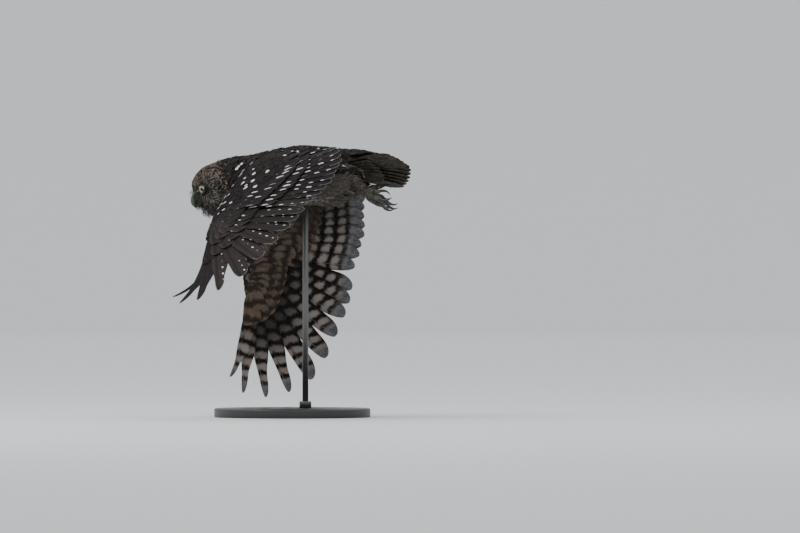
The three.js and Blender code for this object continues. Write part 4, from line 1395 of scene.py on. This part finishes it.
def bristles():
    """Stiff hairs of the face: some fan out forward past the bill, the others lie down along its sides.

    Each is a thin tapered tube with three sides along a curve that sags by the square of the part along it.
    """
    fan, lying = 260, 200
    count = fan + lying
    over = np.arange(count) >= fan
    side = np.where(np.arange(count) % 2, 1.0, -1.0)
    spread = chance.uniform(0, 1, count)
    base = np.stack([chance.uniform(-20.5, -17.0, count), side * chance.uniform(1.2, 8.0, count),
                     mix(6.5, -7.5, spread)], -1)
    base[over] = np.stack([chance.uniform(-21.5, -18.0, lying), side[over] * chance.uniform(2.6, 6.0, lying),
                           mix(5.0, -5.0, spread[over])], -1)
    aim = np.stack([-0.8 + chance.normal(0, 0.12, count), side * chance.uniform(0.0, 0.45, count),
                    mix(0.35, -0.55, spread) + chance.normal(0, 0.15, count)], -1)
    aim[over] = np.stack([-0.6 + chance.normal(0, 0.1, lying), side[over] * chance.uniform(-0.12, 0.12, lying),
                          mix(-0.3, -0.8, spread[over])], -1)
    length = np.where(over, chance.uniform(4.0, 7.5, count), chance.uniform(5.5, 9.5, count))
    thick = np.where(over, 0.27, 0.2)
    t = np.linspace(0, 1, 6)
    sag = np.array([0, 0, -1.0]) * (t ** 2)[:, None] * 0.2
    path = base[:, None] + (unit(aim)[:, None] * t[:, None] + sag) * length[:, None, None]
    ahead = unit(np.gradient(path, axis=1))
    across = unit(np.cross(ahead, np.array([0.1, 0.9, 0.3])))
    other = np.cross(across, ahead)
    angle = np.array([0, 2 * np.pi / 3, 4 * np.pi / 3])
    thin = (thick[:, None] * mix(1.0, 0.15, t))[..., None, None]
    rings = path[:, :, None] + thin * (across[:, :, None] * np.cos(angle)[:, None]
                                       + other[:, :, None] * np.sin(angle)[:, None])
    no_map = np.zeros((count, 6, 3))
    patch = np.stack([0.5 + base[:, 1] / 20, 0.5 + base[:, 2] / 20], -1)
    add_feathers("bill_bristles", from_head(rings), no_map, no_map, bristle_material, {},
                 {"out": t[None, :, None]}, patch)


# Feet

def toe_frame(side, swing, lift):
    """The direction of a toe and the way it bends: the foot's line lifted about y, then swung outwards."""
    along = turn(TOE_LINE, "y", -lift)
    up = unit(np.cross(along, [0.0, 1, 0]))
    c, s = np.cos(side * swing), np.sin(side * swing)
    return along * c + np.cross(up, along) * s, up


def foot(name, side):
    """Toes with a swelling at each joint, and claws curved to a point."""
    ankle = ANKLES[name]
    for digit, (length, swing, lift, hook) in TOES.items():
        along, up = toe_frame(side, swing, lift)
        at = lambda part, rise: ankle + along * length * part - up * length * rise * hook
        path, size = even_path([at(-0.1, 0), at(0.5, 0.1), at(1, 0)], TOE_RADII, 36)
        swell = 1 + 0.10 * np.cos(np.linspace(0, 2 * np.pi * 2.5, 36))
        t = np.linspace(0, 1, 36)
        cap = np.sqrt(np.clip(1 - (np.maximum(0, t - 0.93) / 0.07) ** 2 * 0.9, 0.05, 1))
        toe = shell(f"toe_{name}_{digit}", tube(path, size * swell * cap, 20, upwards=up), toe_material)
        if digit == "inner":
            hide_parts(f"foot_{name}")
        reach = lambda out, rise: ankle + along * (length + out) + up * rise * hook
        path, size = even_path([reach(-1.5, 0), reach(4, -1), reach(8.5, 0.5), reach(11, 4)],
                               [1.75, 1.45, 0.9, 0.12], 30)
        claw = shell(f"claw_{name}_{digit}_horn", tube(path, size, 16, upwards=up), claw_material,
                     {"out": np.repeat(np.linspace(0, 1, 30), 16)})
        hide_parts(f"claw_{name}_{digit}")


# Stand

def turned_piece(name, profile, centre, material, sides=128):
    """A lathe-turned piece: a profile of radius and height carried round an upright line."""
    radius, height = np.array(profile, float).T
    angle = np.linspace(0, 2 * np.pi, sides, endpoint=False)
    x = centre[0] + radius[:, None] * np.cos(angle)
    y = centre[1] + radius[:, None] * np.sin(angle)
    points = np.stack([x, y, np.broadcast_to(height[:, None], x.shape)], -1) * MM
    return closed_tube(name, points, material)


def rounded_corner(radius, height, size, steps=6):
    """Points of a quarter circle from the side of a profile onto its top."""
    angle = np.linspace(0, np.pi / 2, steps)
    return np.stack([radius - size + size * np.cos(angle), height - size + size * np.sin(angle)], -1).tolist()


def stand():
    """A round base with softened edges, a collar on it and the rod up into the belly."""
    edge = 1.6
    foot_edge = [[BASE_RADIUS - 0.6, 0.0], [BASE_RADIUS, 0.6]]
    base = turned_piece("stand_base_disc", [*foot_edge, *rounded_corner(BASE_RADIUS, BASE_HEIGHT, edge),
                                            [0.5, BASE_HEIGHT]], (0, 0), base_material, 160)
    top = BASE_HEIGHT + COLLAR_HEIGHT
    ring = [[COLLAR_RADIUS, BASE_HEIGHT - 0.2], *rounded_corner(COLLAR_RADIUS, top, 1.0),
            [ROD_RADIUS - 0.2, top]]
    collar = turned_piece("stand_collar_ring", ring, ROD_PLACE, rod_material, 64)
    rod_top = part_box("stand_rod")[1][2] / MM
    rod = turned_piece("stand_rod_steel", [[ROD_RADIUS, BASE_HEIGHT - 4], [ROD_RADIUS, rod_top + 2],
                                           [ROD_RADIUS - 0.5, rod_top + 2.5]], ROD_PLACE, rod_material, 48)
    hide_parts("stand_base")
    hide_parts("stand_collar")
    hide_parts("stand_rod")


# The whole bird

body_skin()
dress_trunk()
dress_head()
dress_legs()
for side_name, sign in SIDES.items():
    arm_skin(side_name, sign)
    dress_wing(side_name, sign)
    eye(side_name, sign)
    eyelids(side_name, sign)
    foot(side_name, sign)
dress_tail()
bill()
bristles()
stand()


# Studio

def studio_floor():
    """A round floor that curves up far off into a low wall, worked out as a profile turned about the stand."""
    out = np.concatenate([[0.05], np.linspace(2, 11, 10), 11 + 3.5 * np.sin(np.linspace(0.1, np.pi / 2, 12))])
    up = np.concatenate([np.zeros(11), 3.5 - 3.5 * np.cos(np.linspace(0.1, np.pi / 2, 12))])
    out, up = np.append(out, 14.5), np.append(up, 5.0)
    angle = np.linspace(0, 2 * np.pi, 96, endpoint=False)
    out, up = out[:, None], up[:, None]
    points = np.stack(np.broadcast_arrays(out * np.cos(angle), out * np.sin(angle), up), -1)
    row, column = ring_faces(len(out), 96)
    quads = row * 96 + column % 96
    mesh = bpy.data.meshes.new("studio_floor")
    mesh.from_pydata(points.reshape(-1, 3).tolist(), [], quads.tolist() + [list(range(96))])
    mesh.materials.append(floor_material)
    mesh.polygons.foreach_set("use_smooth", np.full(len(mesh.polygons), True))
    floor = bpy.data.objects.new("studio_floor", mesh)
    bpy.context.scene.collection.objects.link(floor)


def lamp(name, turn_round, height, distance, size, watts):
    """A large soft lamp that faces the bird."""
    data = bpy.data.lights.new(name, "AREA")
    data.energy, data.shape, data.size = watts, "DISK", size
    light = bpy.data.objects.new(name, data)
    way = Vector((np.sin(turn_round) * np.cos(height), -np.cos(turn_round) * np.cos(height), np.sin(height)))
    light.location = Vector(SHOULDERS * MM) + way * distance
    light.rotation_mode = "QUATERNION"
    light.rotation_quaternion = way.to_track_quat("Z", "Y")
    bpy.context.scene.collection.objects.link(light)


def studio_air(colour, strength):
    """Even light from all round."""
    world = bpy.data.worlds.new("studio air")
    world.use_nodes = True
    background = world.node_tree.nodes["Background"]
    background.inputs["Color"].default_value = (*colour, 1)
    background.inputs["Strength"].default_value = strength
    bpy.context.scene.world = world


studio_floor()
studio_air((0.95, 0.975, 1.0), 1.3)
lamp("soft key light", np.radians(-38), np.radians(52), distance=1.8, size=1.5, watts=19)

lens = bpy.data.cameras.new("camera")
lens.lens, lens.sensor_width, lens.clip_end = CAMERA_LENS, 36, 60
camera = bpy.data.objects.new("camera", lens)
camera.matrix_world = (Matrix.Translation(Vector(LOOK_AT * MM - CAMERA_AHEAD * CAMERA_DISTANCE))
                       @ Matrix.Rotation(CAMERA_TURN, 4, "Z") @ Matrix.Rotation(np.pi / 2, 4, "X"))
bpy.context.scene.collection.objects.link(camera)
bpy.context.scene.camera = camera
